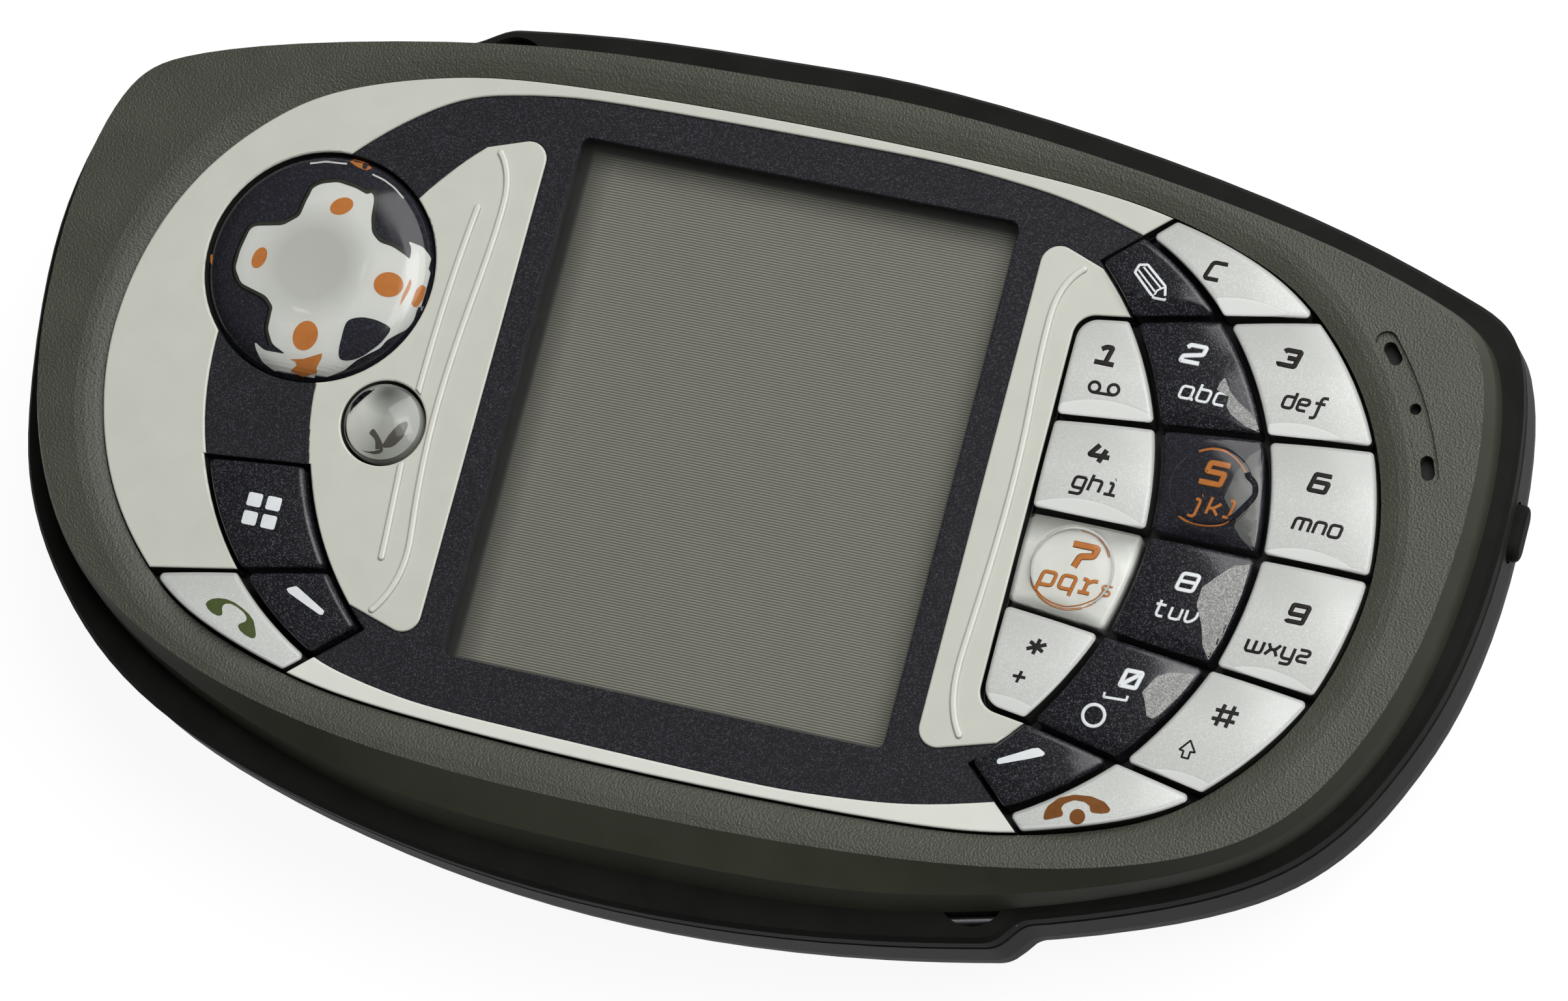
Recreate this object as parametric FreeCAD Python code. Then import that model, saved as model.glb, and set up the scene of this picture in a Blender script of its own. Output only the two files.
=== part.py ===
import FreeCAD, Part
import os
from math import cos, hypot, radians, sin

# Gaming phone, lying on its back. Millimetres, +X right, +Y towards the top
# edge, +Z out of the face. While it is drawn, x = 0 and y = 0 are the centre
# of the display window. SHIFT then moves every piece, so that the origin is
# the centre of the bounding box on the back face.

V = FreeCAD.Vector

# heights
FACE = 20.6          # face plane, the top of the dark display bezel
PALE = FACE + 0.2    # top of the pale plates
LAND_Z = 20.75       # flat land of the front cover
EDGE_Z = 16.6        # lower edge of the front cover, top of the bumper
SPLIT_Z = 13.6       # bottom of the bumper, top of the rear housing
WIDE_Z = 9.4         # level where the rear housing starts to narrow
PLATE_Z = 19.1       # underside of the plates in the face
GLASS_TOP = FACE - 0.35  # top of the display window
FRAME_Z = 18.1       # underside of the key frame
MAT_Z = 17.2         # underside of the keymats
BOARD_TOP = 16.1
BOARD_Z = 15.1
BAY_CEILING = 9.0    # inside of the battery bay
BACK_T = 1.6         # thickness of the back wall
COVER_T = 1.4        # thickness of the battery cover

# face layout: nearly everything mirrors about x = 0 and about y = FACE_Y
FACE_Y = -0.72
OVAL_C = 27.5        # centres of the earpiece and screw arcs at the two ends
ARC12 = (7.2, 0.12, 26.7)  # line between key columns 1 and 2: centre x, y above FACE_Y, radius
ARC23 = (17.2, -0.31, 25.55)  # the same between columns 2 and 3
ARC23_LEFT = (17.0, 0.16, 25.7)  # the same for the keys at the left, before they are mirrored
COL1_X = 24.58       # inner side of key column 1
ROW_B = ((24.9, 7.5), (49.2, 9.93))      # line 1/4, 2/5, 3/6, above FACE_Y
ROW_A = ((25.0, 15.7), (29.2, 16.3), (35.7, 17.6), (42.7, 18.9))
ROW_END = ((24.8, 20.06), (29.5, 24.26))  # far end of the edit and C keys
KEY_GAP = 0.3
KEY_INSET = 0.25     # from a border line to the side of a key
KEY_BOTTOM = 18.55
KEY_TOP = FACE + 0.95
CROWN_R = 34.0
LIP_Z = 20.92        # height of the sloping lower lip at the lower border of a key
LIP_SLOPE = 0.37
WINDOW = (36.1, 42.7)
WINDOW_R = 0.8
DPAD = (-36.1, 6.8)
DPAD_R = 9.15
DPAD_HOLE = 9.45
SELECT = (-27.55, -4.45)
SELECT_R = 3.2
SELECT_HOLE = 3.45
WING_X = 20.35       # edge of the wings beside the window
WING_TOP = ((21.5, 21.05), (25.2, 19.75))  # top line of the wings, above FACE_Y
WING_BOTTOM = ((21.5, -19.78), (25.2, -18.68))  # and their bottom line
PLATE_ROUND = 0.15   # rounding of the upper borders of the pale plates
RIB = (0.52, 0.2)    # width and height of the raised lines on the wings

# a quarter of the face opening and half of the dark bezel, above FACE_Y
OVAL = [(0, 26.5), (20, 26.0), (30.4, 24.65), (38.4, 22.0), (43.6, 18.4), (47.6, 13.6),
        (50.4, 7.4), (51.5, 0)]
NAVY_Y = FACE_Y + 0.12   # the dark bezel sits a little higher than the rest of the face
NAVY_LEFT = [(0, 25.35), (-14, 25.1), (-20.5, 24.7), (-25.2, 23.9), (-30, 22.0), (-36.3, 16.6),
             (-41.05, 9.0), (-42.8, 0)]
NAVY_RIGHT = [(10, 25.38), (15, 25.1), (20, 24.56), (25, 23.5), (30, 22.1), (36, 17.5), (42, 0)]

# half outlines from the top centre clockwise to the bottom centre
LAND = [(0, 28.95), (20, 27.9), (40, 24.6), (51, 21.3), (55.6, 17.6), (57.35, 8),
        (56.3, -5), (52.85, -15), (47, -22.1), (36, -26.8), (20, -29.4), (0, -30.3)]
EDGE = [(0, 29.6), (20, 28.55), (40, 25.3), (51.4, 22.0), (56.35, 18.2), (58.2, 8.3),
        (57.3, -4.5), (54.2, -14.3), (48.75, -21.75), (38.1, -27.65), (20, -32.8), (0, -34.15)]
SLIM = [(0, 30.1), (20, 29.2), (40.2, 26.3), (52.0, 22.8), (57.35, 19.0), (59.75, 8.3),
        (58.5, -4.6), (55.3, -14.45), (49.55, -22.35), (38.3, -28.45), (20, -33.5), (0, -34.8)]
WIDE = [(0, 32.0), (20, 30.8), (40, 27.3), (52.1, 23.7), (57.6, 19.7), (59.55, 8.3),
        (58.8, -4.5), (56.3, -14.5), (50.85, -22.95), (39.7, -30.0), (20.1, -35.0), (0, -36.9)]
# how far the left half stands out of the mirrored right half, point by point from the top centre
LEFT_OUT = [(0, 0), (0, 0.25), (0, 0.35), (-0.15, 0.42), (-0.2, 0.15), (-0.35, 0),
            (-0.42, 0), (0, 0), (0.27, 0.36), (0, -0.1), (0, -0.4), (0, 0)]
MID_Y = -2.4               # middle of the outlines
TURN = 2 * len(EDGE) - 2   # parameter length of a whole outline
# where the bumper steps out: top left shoulder, bottom right shoulder, half widths
SHOULDER = (20.57, 9.52, 0.09)

# screws, battery, jacks and other inside pieces
SCREWS = [(-40, 22.2), (40, 22.2), (-40, -23.3), (40, -23.3)]
SCREW_R = 0.8
HEAD_R = 1.5
BATTERY = (-26.5, 26.5, -20.2, 13.8, 1.8, 7.4)
BAY = (-27.0, 31.0, -20.7, 14.3)
CHARGER = (29.5, 11.3, 1.75, 8.0)    # x, z, bore radius and bore length of the jacks
HEADSET = (-32.5, 11.85, 1.25, 9.5)
JACK_Y = 25.2             # mouths of the jacks in the top edge
CARD_Y = (-1.6, 26.4)     # ends of the card socket
FLAP_W = 29.0
FLAP_Z = (7.9, 12.9)
FLAP_T = 1.1
FLAP_ROOM = 0.3           # more room above the flap, so that it can swing out
CARD_Z = (10.9, 12.4)     # slot of the card socket
POWER = (7.1, 11.6)       # y and z of the power key
POWER_TIP = 60.45
EARPIECE_R = 27.7         # arc of the earpiece slots about the right end centre
EARPIECE_A = (18.5, 41.5)
FIT = 0.2                 # clearance of a piece that moves or lifts out
SPECK = 10.0              # smallest volume of a real part of the bezel
STRAP = [(27.0, -31.35, 14.0), (-26.7, 28.3, 187.0)]

# side to side the power key stands out past the body, so the box is shifted
SHIFT = V(-0.125, 2.45, 0)

TOP = 60.0  # taller than the part, for cutting bodies


def box(x0, x1, y0, y1, z0, z1):
    return Part.makeBox(x1 - x0, y1 - y0, z1 - z0, V(x0, y0, z0))


def cyl(x, y, z0, z1, r):
    return Part.makeCylinder(r, z1 - z0, V(x, y, z0))


def rounded(x0, x1, y0, y1, z0, z1, r):
    """Box with rounded vertical edges."""
    body = box(x0, x1, y0, y1, z0, z1)
    return body.makeFillet(r, upright(body))


def largest(shape):
    """Biggest solid of a shape."""
    return sorted(shape.Solids, key=lambda s: -s.Volume)[0]


def upright(shape):
    """Vertical straight edges of a shape."""
    found = []
    for edge in shape.Edges:
        a, b = edge.Vertexes[0].Point, edge.Vertexes[-1].Point
        if hypot(a.x - b.x, a.y - b.y) < 1e-6 and abs(a.z - b.z) > 0.2:
            found.append(edge)
    return found


def level_edges(shape, z):
    """Edges that lie in the plane at z."""
    return [e for e in shape.Edges
            if abs(e.BoundBox.ZMin - z) < 1e-4 and abs(e.BoundBox.ZMax - z) < 1e-4]


def spline(points, params):
    curve = Part.BSplineCurve()
    curve.interpolate(Points=points, PeriodicFlag=True, Parameters=params)
    return curve


def outline_curve(half):
    left = [(-x + dx, y + dy) for (x, y), (dx, dy) in zip(half, LEFT_OUT)]
    full = half + list(reversed(left[1:-1]))
    return spline([V(x, y, 0) for x, y in full], [float(i) for i in range(TURN + 1)])


CURVES = {"land": outline_curve(LAND), "edge": outline_curve(EDGE),
          "slim": outline_curve(SLIM), "wide": outline_curve(WIDE)}


def mirrored_prism(points, off, z0, z1):
    """Prism of an outline that mirrors about FACE_Y, given from left to right, grown by off."""
    full = points + [(x, -y) for x, y in reversed(points[1:-1])]
    count = float(len(full))
    curve = spline([V(x, y + FACE_Y, 0) for x, y in full], [float(i) for i in range(len(full) + 1)])
    params = [i * 0.5 for i in range(2 * len(full))]
    grown = []
    for u in params:
        t = curve.tangent(u)[0]
        p = curve.value(u)
        grown.append(V(p.x - t.y * off, p.y + t.x * off, z0))
    wire = Part.Wire([spline(grown, params + [count]).toShape()])
    return wire if z1 is None else Part.Face(wire).extrude(V(0, 0, z1 - z0))


def step(u, u0, u1):
    t = min(1.0, max(0.0, (u - u0) / (u1 - u0)))
    return t * t * (3 - 2 * t)


def wide_share(u):
    """1 where the bumper stands out in full, 0 where it is slim."""
    left, right, half = SHOULDER
    if u < 7.0:
        return 1 - step(u, 5.0, 7.0)
    if u < 15.0:
        return step(u, right - half, right + half)
    if u < 19.0:
        return 1 - step(u, 15.0, 17.0)
    return step(u, left - half, left + half)


def samples():
    """Curve parameters of an outline, closer together at the two shoulders."""
    plain = [i * 0.25 for i in range(4 * TURN)]
    for mid in SHOULDER[:2]:
        plain = [u for u in plain if abs(u - mid) > 0.24]
        plain += [mid + 0.045 * i for i in range(-5, 6)]
    return sorted(plain)


U = samples()


def outline_points(kind, off):
    """Points of an outline moved out by off. A large inset is a scaling, so that it stays smooth."""
    points = []
    for u in U:
        if kind == "body":
            share = wide_share(u)
            p = CURVES["wide"].value(u) * share + CURVES["slim"].value(u) * (1 - share)
        elif kind == "mid":
            p = CURVES["land"].value(u) * 0.28 + CURVES["edge"].value(u) * 0.72
        else:
            p = CURVES[kind].value(u)
        if off < -2.0:
            points.append(V(p.x * (1 + off / 58.0), MID_Y + (p.y - MID_Y) * (1 + off / 33.0), 0))
        else:
            t = CURVES["edge"].tangent(u)[0]
            points.append(p + V(-t.y, t.x, 0) * off)
    return points


def ring(kind, off, z):
    points = [V(p.x, p.y, z) for p in outline_points(kind, off)]
    return Part.Wire([spline(points, U + [U[0] + TURN]).toShape()])


def stack(*levels):
    """Solid through outlines given as (kind, offset, z), straight between them."""
    return Part.makeLoft([ring(*level) for level in levels], True, True)


def oval(off, z0, z1):
    """Prism of the face opening, grown by off."""
    quarter = [(-x, y) for x, y in reversed(OVAL)]
    return mirrored_prism(quarter + OVAL[1:], off, z0, z1)


def half_plane(p, q, off, z0, z1):
    """Everything to the left of the line from p to q, moved off to the left."""
    d = V(q[0] - p[0], q[1] - p[1], 0)
    d.normalize()
    n = V(-d.y, d.x, 0)
    a = V(p[0], p[1] + FACE_Y, z0) + n * off
    corners = [a - d * TOP, a + d * TOP, a + d * TOP + n * TOP, a - d * TOP + n * TOP]
    return Part.Face(Part.makePolygon(corners + corners[:1])).extrude(V(0, 0, z1 - z0))


def below(p, q, off, z0, z1):
    """Everything on the other side of the same line."""
    return half_plane(q, p, off, z0, z1)


def mirror_y(points):
    return tuple((x, -y) for x, y in points)


def arc_disc(arc, off, z0, z1):
    return cyl(arc[0], FACE_Y + arc[1], z0, z1, arc[2] + off)


def column(number, z0, z1, off, arc23):
    """Band of one key column on the right side, off inside its borders."""
    if number == 1:
        band = arc_disc(ARC12, -off, z0, z1)
        return band.common(box(COL1_X + off - KEY_GAP / 2, TOP, -TOP, TOP, z0, z1))
    if number == 2:
        return arc_disc(arc23, -off, z0, z1).cut(arc_disc(ARC12, off, z0, z1))
    return oval(-off, z0, z1).cut(arc_disc(arc23, off, z0, z1))


def row_a(number):
    return ROW_A[number - 1:number + 1]


def key_cell(number, row, z0, z1, off, arc23):
    """Cell of the key grid. Rows 2 to -2 run from the top key to the bottom."""
    cell = column(number, z0, z1, off, arc23)
    if row in (2, -2):
        line, inner = ROW_END, row_a(number)
        if row == -2:
            cell = cell.common(half_plane(*mirror_y(line), off, z0, z1))
            return cell.common(below(*mirror_y(inner), off, z0, z1))
        return cell.common(below(*line, off, z0, z1)).common(half_plane(*inner, off, z0, z1))
    if row == 1.5:
        upper, lower = row_a(number), ROW_B
    elif row == 0.5:
        upper, lower = ROW_B, ((20, 0), (60, 0))
    elif row == -0.5:
        upper, lower = ((20, 0), (60, 0)), mirror_y(ROW_B)
    else:
        upper, lower = mirror_y(ROW_B), mirror_y(row_a(number))
    return cell.common(below(*upper, off, z0, z1)).common(half_plane(*lower, off, z0, z1))


def above_lip(p, q):
    """Everything above the lip plane, which rises from the line p to q to its left."""
    d = V(q[0] - p[0], q[1] - p[1], 0)
    d.normalize()
    n = V(-d.y, d.x, 0)
    a = V(p[0], p[1] + FACE_Y, 0) - d * TOP
    low, high = -3.0, 6.0
    corners = [a + n * low + V(0, 0, LIP_Z + low * LIP_SLOPE), a + n * high + V(0, 0, LIP_Z + high * LIP_SLOPE),
               a + n * high + V(0, 0, TOP), a + n * low + V(0, 0, TOP)]
    return Part.Face(Part.makePolygon(corners + corners[:1])).extrude(d * 2 * TOP)


def lower_line(number, row):
    """Lower border of a key, or None where its lower side has no lip."""
    return {2: row_a(number), 1.5: ROW_B, 0.5: ((20, 0), (60, 0)), -0.5: mirror_y(ROW_B),
            -1.5: mirror_y(row_a(number)), -2: None}[row]


def key(number, row, big_corner=None, arc23=ARC23):
    """One key cap: a grid cell with rounded corners, a domed top, a rounded rim and a lower lip."""
    cell = largest(key_cell(number, row, KEY_BOTTOM, KEY_TOP + 1, KEY_INSET, arc23))
    corners = upright(cell)
    if big_corner:
        near = [e for e in corners
                if hypot(e.Vertexes[0].X - big_corner[0], e.Vertexes[0].Y - big_corner[1]) < 1.5]
        cell = largest(cell.makeFillet(1.7, near))
        corners = [e for e in upright(cell)
                   if hypot(e.Vertexes[0].X - big_corner[0], e.Vertexes[0].Y - big_corner[1]) > 3.0]
    cell = largest(cell.makeFillet(0.4, corners))
    c = cell.CenterOfMass
    body = largest(cell.common(Part.makeSphere(CROWN_R, V(c.x, c.y, KEY_TOP - CROWN_R))))
    rim = [e for f in body.Faces if isinstance(f.Surface, Part.Sphere) for e in f.Edges]
    body = largest(body.makeFillet(0.35, rim))
    line = lower_line(number, row)
    return largest(body.cut(above_lip(*line))) if line else body


def mirror_x(shape):
    return shape.mirror(V(0, 0, 0), V(1, 0, 0))


def keys():
    made = {}
    names = {(1, 1.5): "key_1", (2, 1.5): "key_2", (3, 1.5): "key_3",
             (1, 0.5): "key_4", (2, 0.5): "key_5", (3, 0.5): "key_6",
             (1, -0.5): "key_7", (2, -0.5): "key_8", (3, -0.5): "key_9",
             (1, -1.5): "key_star", (2, -1.5): "key_0", (3, -1.5): "key_hash",
             (2, 2): "edit_key", (3, 2): "clear_key",
             (2, -2): "soft_key_right", (3, -2): "end_key"}
    for (number, row), name in names.items():
        big = None
        if name == "key_1":
            big = (COL1_X, FACE_Y + 15.5)
        if name == "key_star":
            big = (COL1_X, FACE_Y - 15.5)
        made[name] = key(number, row, big_corner=big)
    made["menu_key"] = mirror_x(key(2, -1.5, arc23=ARC23_LEFT))
    made["soft_key_left"] = mirror_x(key(2, -2, arc23=ARC23_LEFT))
    made["send_key"] = mirror_x(key(3, -2, arc23=ARC23_LEFT))
    return made


def right_block(off, z0, z1):
    """Whole key block on the right, off outside its borders."""
    block = oval(off, z0, z1).cut(arc_disc(ARC12, off, z0, z1))
    block = block.common(below(*ROW_END, -off, z0, z1)).common(half_plane(*mirror_y(ROW_END), -off, z0, z1))
    block = block.common(box(0, TOP, -TOP, TOP, z0, z1))
    first = arc_disc(ARC12, 1.0, z0, z1).common(box(COL1_X - KEY_GAP / 2 - off, TOP, -TOP, TOP, z0, z1))
    first = first.common(below(*row_a(1), -off, z0, z1))
    first = first.common(half_plane(*mirror_y(row_a(1)), -off, z0, z1))
    corners = [e for e in upright(first) if e.Vertexes[0].X < COL1_X + 1]
    return block.fuse(first.makeFillet(1.75, corners))


def left_block(off, z0, z1):
    """Menu, soft and send keys as one block, off outside its borders."""
    band = arc_disc(ARC23_LEFT, off, z0, z1).cut(arc_disc(ARC12, -off, z0, z1))
    band = band.common(below(*mirror_y(ROW_B), -off, z0, z1))
    outer = oval(off, z0, z1).cut(arc_disc(ARC23_LEFT, -off, z0, z1))
    outer = outer.common(below(*mirror_y(row_a(3)), -off, z0, z1))
    block = band.fuse(outer).common(half_plane(*mirror_y(ROW_END), -off, z0, z1))
    block = block.common(box(0, TOP, -TOP, TOP, z0, z1))
    return mirror_x(block)


def navy_oval(z0, z1):
    """Prism of the dark bezel's outline."""
    body = mirrored_prism(list(reversed(NAVY_LEFT)) + NAVY_RIGHT, 0, z0, z1)
    body.translate(V(0, NAVY_Y - FACE_Y, 0))
    return body


def wing_shape(z0, z1):
    """Pale wing beside the window, right side, before the keys are cut out."""
    body = arc_disc(ARC12, 0, z0, z1).common(box(WING_X, TOP, -TOP, TOP, z0, z1))
    body = body.common(below(*WING_TOP, 0, z0, z1))
    body = body.common(half_plane(*WING_BOTTOM, 0, z0, z1))
    corners = [e for e in upright(body) if e.Vertexes[0].X < WING_X + 0.1]
    return body.makeFillet(1.5, corners)


def rib(points):
    """Low raised line along a wing, with rounded ends and rounded upper borders."""
    width, height = RIB
    bottom = PALE - 0.3
    curve = Part.BSplineCurve()
    curve.interpolate([V(x, y, bottom) for x, y in points])
    first, last = curve.FirstParameter, curve.LastParameter
    sides = []
    for off in (-width / 2, width / 2):
        moved = []
        for i in range(25):
            u = first + (last - first) * i / 24
            t = curve.tangent(u)[0]
            moved.append(curve.value(u) + V(-t.y, t.x, 0) * off)
        sides.append(moved)
    right, left = sides
    start = right[0] * 0.5 + left[0] * 0.5 - curve.tangent(first)[0] * (width / 2)
    end = right[-1] * 0.5 + left[-1] * 0.5 + curve.tangent(last)[0] * (width / 2)
    edges = []
    for moved in (right, left):
        side = Part.BSplineCurve()
        side.interpolate(moved)
        edges.append(side.toShape())
    edges.append(Part.Arc(right[-1], end, left[-1]).toShape())
    edges.append(Part.Arc(left[0], start, right[0]).toShape())
    wire = Part.Wire(Part.__sortEdges__(edges))
    body = Part.Face(wire).extrude(V(0, 0, 0.3 + height))
    return body.makeFillet(height * 0.8, level_edges(body, PALE + height))


def rounded_top(shape, shortest):
    """Pale plate with rounded upper borders, where they are at least that long."""
    borders = [e for e in level_edges(shape, PALE) if e.Length > shortest]
    return shape.makeFillet(PLATE_ROUND, borders)


def face_plates():
    z0 = PLATE_Z
    tall = TOP
    dpad = cyl(DPAD[0], DPAD[1], 0, tall, DPAD_HOLE)
    select = cyl(SELECT[0], SELECT[1], 0, tall, SELECT_HOLE)
    window = rounded(-WINDOW[0] / 2, WINDOW[0] / 2, -WINDOW[1] / 2, WINDOW[1] / 2, 0, tall, WINDOW_R)
    keys_right = right_block(KEY_GAP / 2, 0, tall)
    keys_left = left_block(KEY_GAP / 2, 0, tall)
    navy = navy_oval(0, tall)

    pale = oval(-KEY_GAP / 2, z0, PALE).cut(navy).cut(keys_right).cut(keys_left).cut(dpad)
    solids = sorted(pale.Solids, key=lambda s: -s.Volume)
    plate, trim = solids[0], solids[1]

    wing_l = mirror_x(wing_shape(z0, PALE)).cut(dpad).cut(select)
    wing_l = wing_l.cut(keys_left)
    wing_r = wing_shape(z0, PALE).cut(right_block(KEY_GAP / 2, 0, tall))
    wing_r = largest(wing_r)
    wings = wing_shape(0, tall).fuse(mirror_x(wing_shape(0, tall)))
    bezel = navy_oval(z0, FACE).common(oval(-KEY_GAP / 2, 0, tall)).cut(window).cut(wings)
    bezel = bezel.cut(dpad).cut(select).cut(keys_right).cut(keys_left)
    bezel = Part.makeCompound([s for s in bezel.Solids if s.Volume > SPECK])
    rebate = rounded(-WINDOW[0] / 2 - 1, WINDOW[0] / 2 + 1, -WINDOW[1] / 2 - 1, WINDOW[1] / 2 + 1,
                     z0 - 1, GLASS_TOP, WINDOW_R)
    bezel = bezel.cut(rebate)

    left_ribs = [[(-24.75, 14.0), (-25.2, 8.0), (-25.4, 1.0), (-25.35, -4.0), (-24.9, -11.5), (-24.7, -14.9)],
                 [(-24.1, 18.7), (-23.0, 16.6), (-22.75, 13.6), (-23.3, 5.0), (-23.6, -3.0),
                  (-23.0, -11.5), (-22.75, -14.6), (-23.3, -17.3), (-24.3, -19.1)]]
    right_rib = [(23.9, 18.6), (22.6, 16.6), (22.25, 13.6), (22.65, 5.0), (22.7, -3.0),
                 (22.3, -11.5), (22.25, -14.8), (22.7, -17.2), (23.6, -19.0)]
    select_clear = cyl(SELECT[0], SELECT[1], 0, tall, SELECT_HOLE + 0.25)
    plate, wing_l, wing_r = [rounded_top(largest(s), 0.5) for s in (plate, wing_l, wing_r)]
    trim = rounded_top(trim, 5.0)
    for points in left_ribs:
        wing_l = wing_l.fuse(rib(points).cut(select_clear))
    wing_r = wing_r.fuse(rib(right_rib))

    glass_z = GLASS_TOP - 0.8
    gasket = rounded(-18.9, 18.9, -22.2, 22.2, FRAME_Z, glass_z, 0.8)
    gasket = gasket.cut(rounded(-18.4, 18.4, -21.7, 21.7, 0, tall, 0.8))
    glass = rounded(-18.9, 18.9, -22.2, 22.2, glass_z, GLASS_TOP, 0.8)

    frame = oval(1.2, FRAME_Z, PLATE_Z)
    frame = frame.common(stack(("edge", -1.9, EDGE_Z), ("land", -1.7, PLATE_Z)))
    frame = frame.cut(rounded(-19.1, 19.1, -22.4, 22.4, 0, tall, 0.8))
    frame = frame.cut(right_block(0.1, 0, tall)).cut(left_block(0.1, 0, tall)).cut(dpad).cut(select)
    for x, y in SCREWS:
        frame = frame.cut(cyl(x, y, 0, tall, 2.1))
    frame = largest(frame)
    return {"face_plate": plate, "lower_trim": trim, "wing_left": wing_l, "wing_right": wing_r,
            "display_bezel": bezel, "display_gasket": gasket, "display_window": glass,
            "key_frame": frame}


def on_arc(r, degrees_):
    a = radians(degrees_)
    return OVAL_C + r * cos(a), FACE_Y + r * sin(a)


def arc_slot(r, a0, a1, half_w, z0, z1):
    """Rounded slot along an arc about the right end centre."""
    big = cyl(OVAL_C, FACE_Y, z0, z1, r + half_w).cut(cyl(OVAL_C, FACE_Y, z0, z1, r - half_w))
    x0, y0 = on_arc(TOP, a0)
    x1, y1 = on_arc(TOP, a1)
    wedge = Part.makePolygon([V(OVAL_C, FACE_Y, z0), V(x0, y0, z0), V(x1, y1, z0), V(OVAL_C, FACE_Y, z0)])
    slot = big.common(Part.Face(wedge).extrude(V(0, 0, z1 - z0)))
    for a in (a0, a1):
        slot = slot.fuse(cyl(*on_arc(r, a), z0, z1, half_w))
    return slot


def jack_blocks():
    """Solid blocks of the charger and headset jacks, before their bores."""
    blocks = []
    for (x, z, r, length), wall in ((CHARGER, 1.0), (HEADSET, 0.35)):
        blocks.append(box(x - r - 1.2, x + r + 1.2, JACK_Y - length - 0.5, JACK_Y, z - r - wall, BOARD_Z))
    return blocks


def strap_hole(spot):
    """D-shaped hole in the bumper's shoulder, flat side towards the cover."""
    x, y, turn = spot
    hole = cyl(0, 1.65, -1, EDGE_Z + 2, 2.75).common(box(-3, 3, -2, 0, -1, EDGE_Z + 2))
    hole.rotate(V(0, 0, 0), V(0, 0, 1), turn)
    hole.translate(V(x, y, 0))
    return hole


def front_cover():
    shell = stack(("edge", 0, EDGE_Z), ("mid", 0, LAND_Z - 1.9), ("land", 0, LAND_Z))
    skirt = stack(("edge", -0.6, SPLIT_Z), ("edge", -0.6, EDGE_Z))
    inside = stack(("edge", -1.8, SPLIT_Z - 1), ("edge", -1.8, EDGE_Z), ("land", -1.6, PLATE_Z))
    body = shell.fuse(skirt).cut(inside)
    slope = Part.makeLoft([oval(0, LAND_Z - 0.4, None), oval(0.7, LAND_Z - 0.22, None),
                           oval(1.4, LAND_Z - 0.08, None), oval(2.2, LAND_Z, None),
                           oval(2.3, LAND_Z + 1, None)], True, True)
    body = body.cut(slope).cut(oval(0, 0, TOP))
    keys_room = oval(0.2, FRAME_Z - 0.1, TOP)
    for x, y in SCREWS:
        body = body.fuse(cyl(x, y, BOARD_TOP, PLATE_Z + 0.5, 1.9).cut(keys_room))
    for x, y in SCREWS:
        body = body.cut(cyl(x, y, 0, PLATE_Z - 0.6, SCREW_R))
    for block in jack_blocks():
        body = body.cut(block)
    groove = arc_slot(EARPIECE_R, *EARPIECE_A, 0.88, LAND_Z - 0.4, LAND_Z + 1)
    body = body.cut(groove)
    for a in (19.9, 39.6):
        body = body.cut(arc_slot(EARPIECE_R, a - 0.95, a + 0.95, 0.52, 0, TOP))
    body = body.cut(cyl(*on_arc(EARPIECE_R, 29.75), 0, TOP, 0.45))
    return largest(body)


def bumper():
    body = stack(("body", -0.25, SPLIT_Z), ("body", 0, SPLIT_Z + 0.35), ("body", 0, EDGE_Z - 1.1),
                 ("body", -0.35, EDGE_Z - 0.45), ("edge", 0.02, EDGE_Z))
    body = body.cut(stack(("edge", -0.6, SPLIT_Z - 1), ("edge", -0.6, EDGE_Z + 1)))
    for spot in STRAP:
        body = body.cut(strap_hole(spot))
    for pin in strap_pin_bodies():
        body = body.cut(pin)
    return body


REAR = (("body", -6.0, 0), ("body", -4.4, 0.7), ("body", -2.6, 2.0), ("body", -1.0, 4.4),
        ("body", -0.1, 7.2), ("body", 0.08, WIDE_Z))


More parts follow.
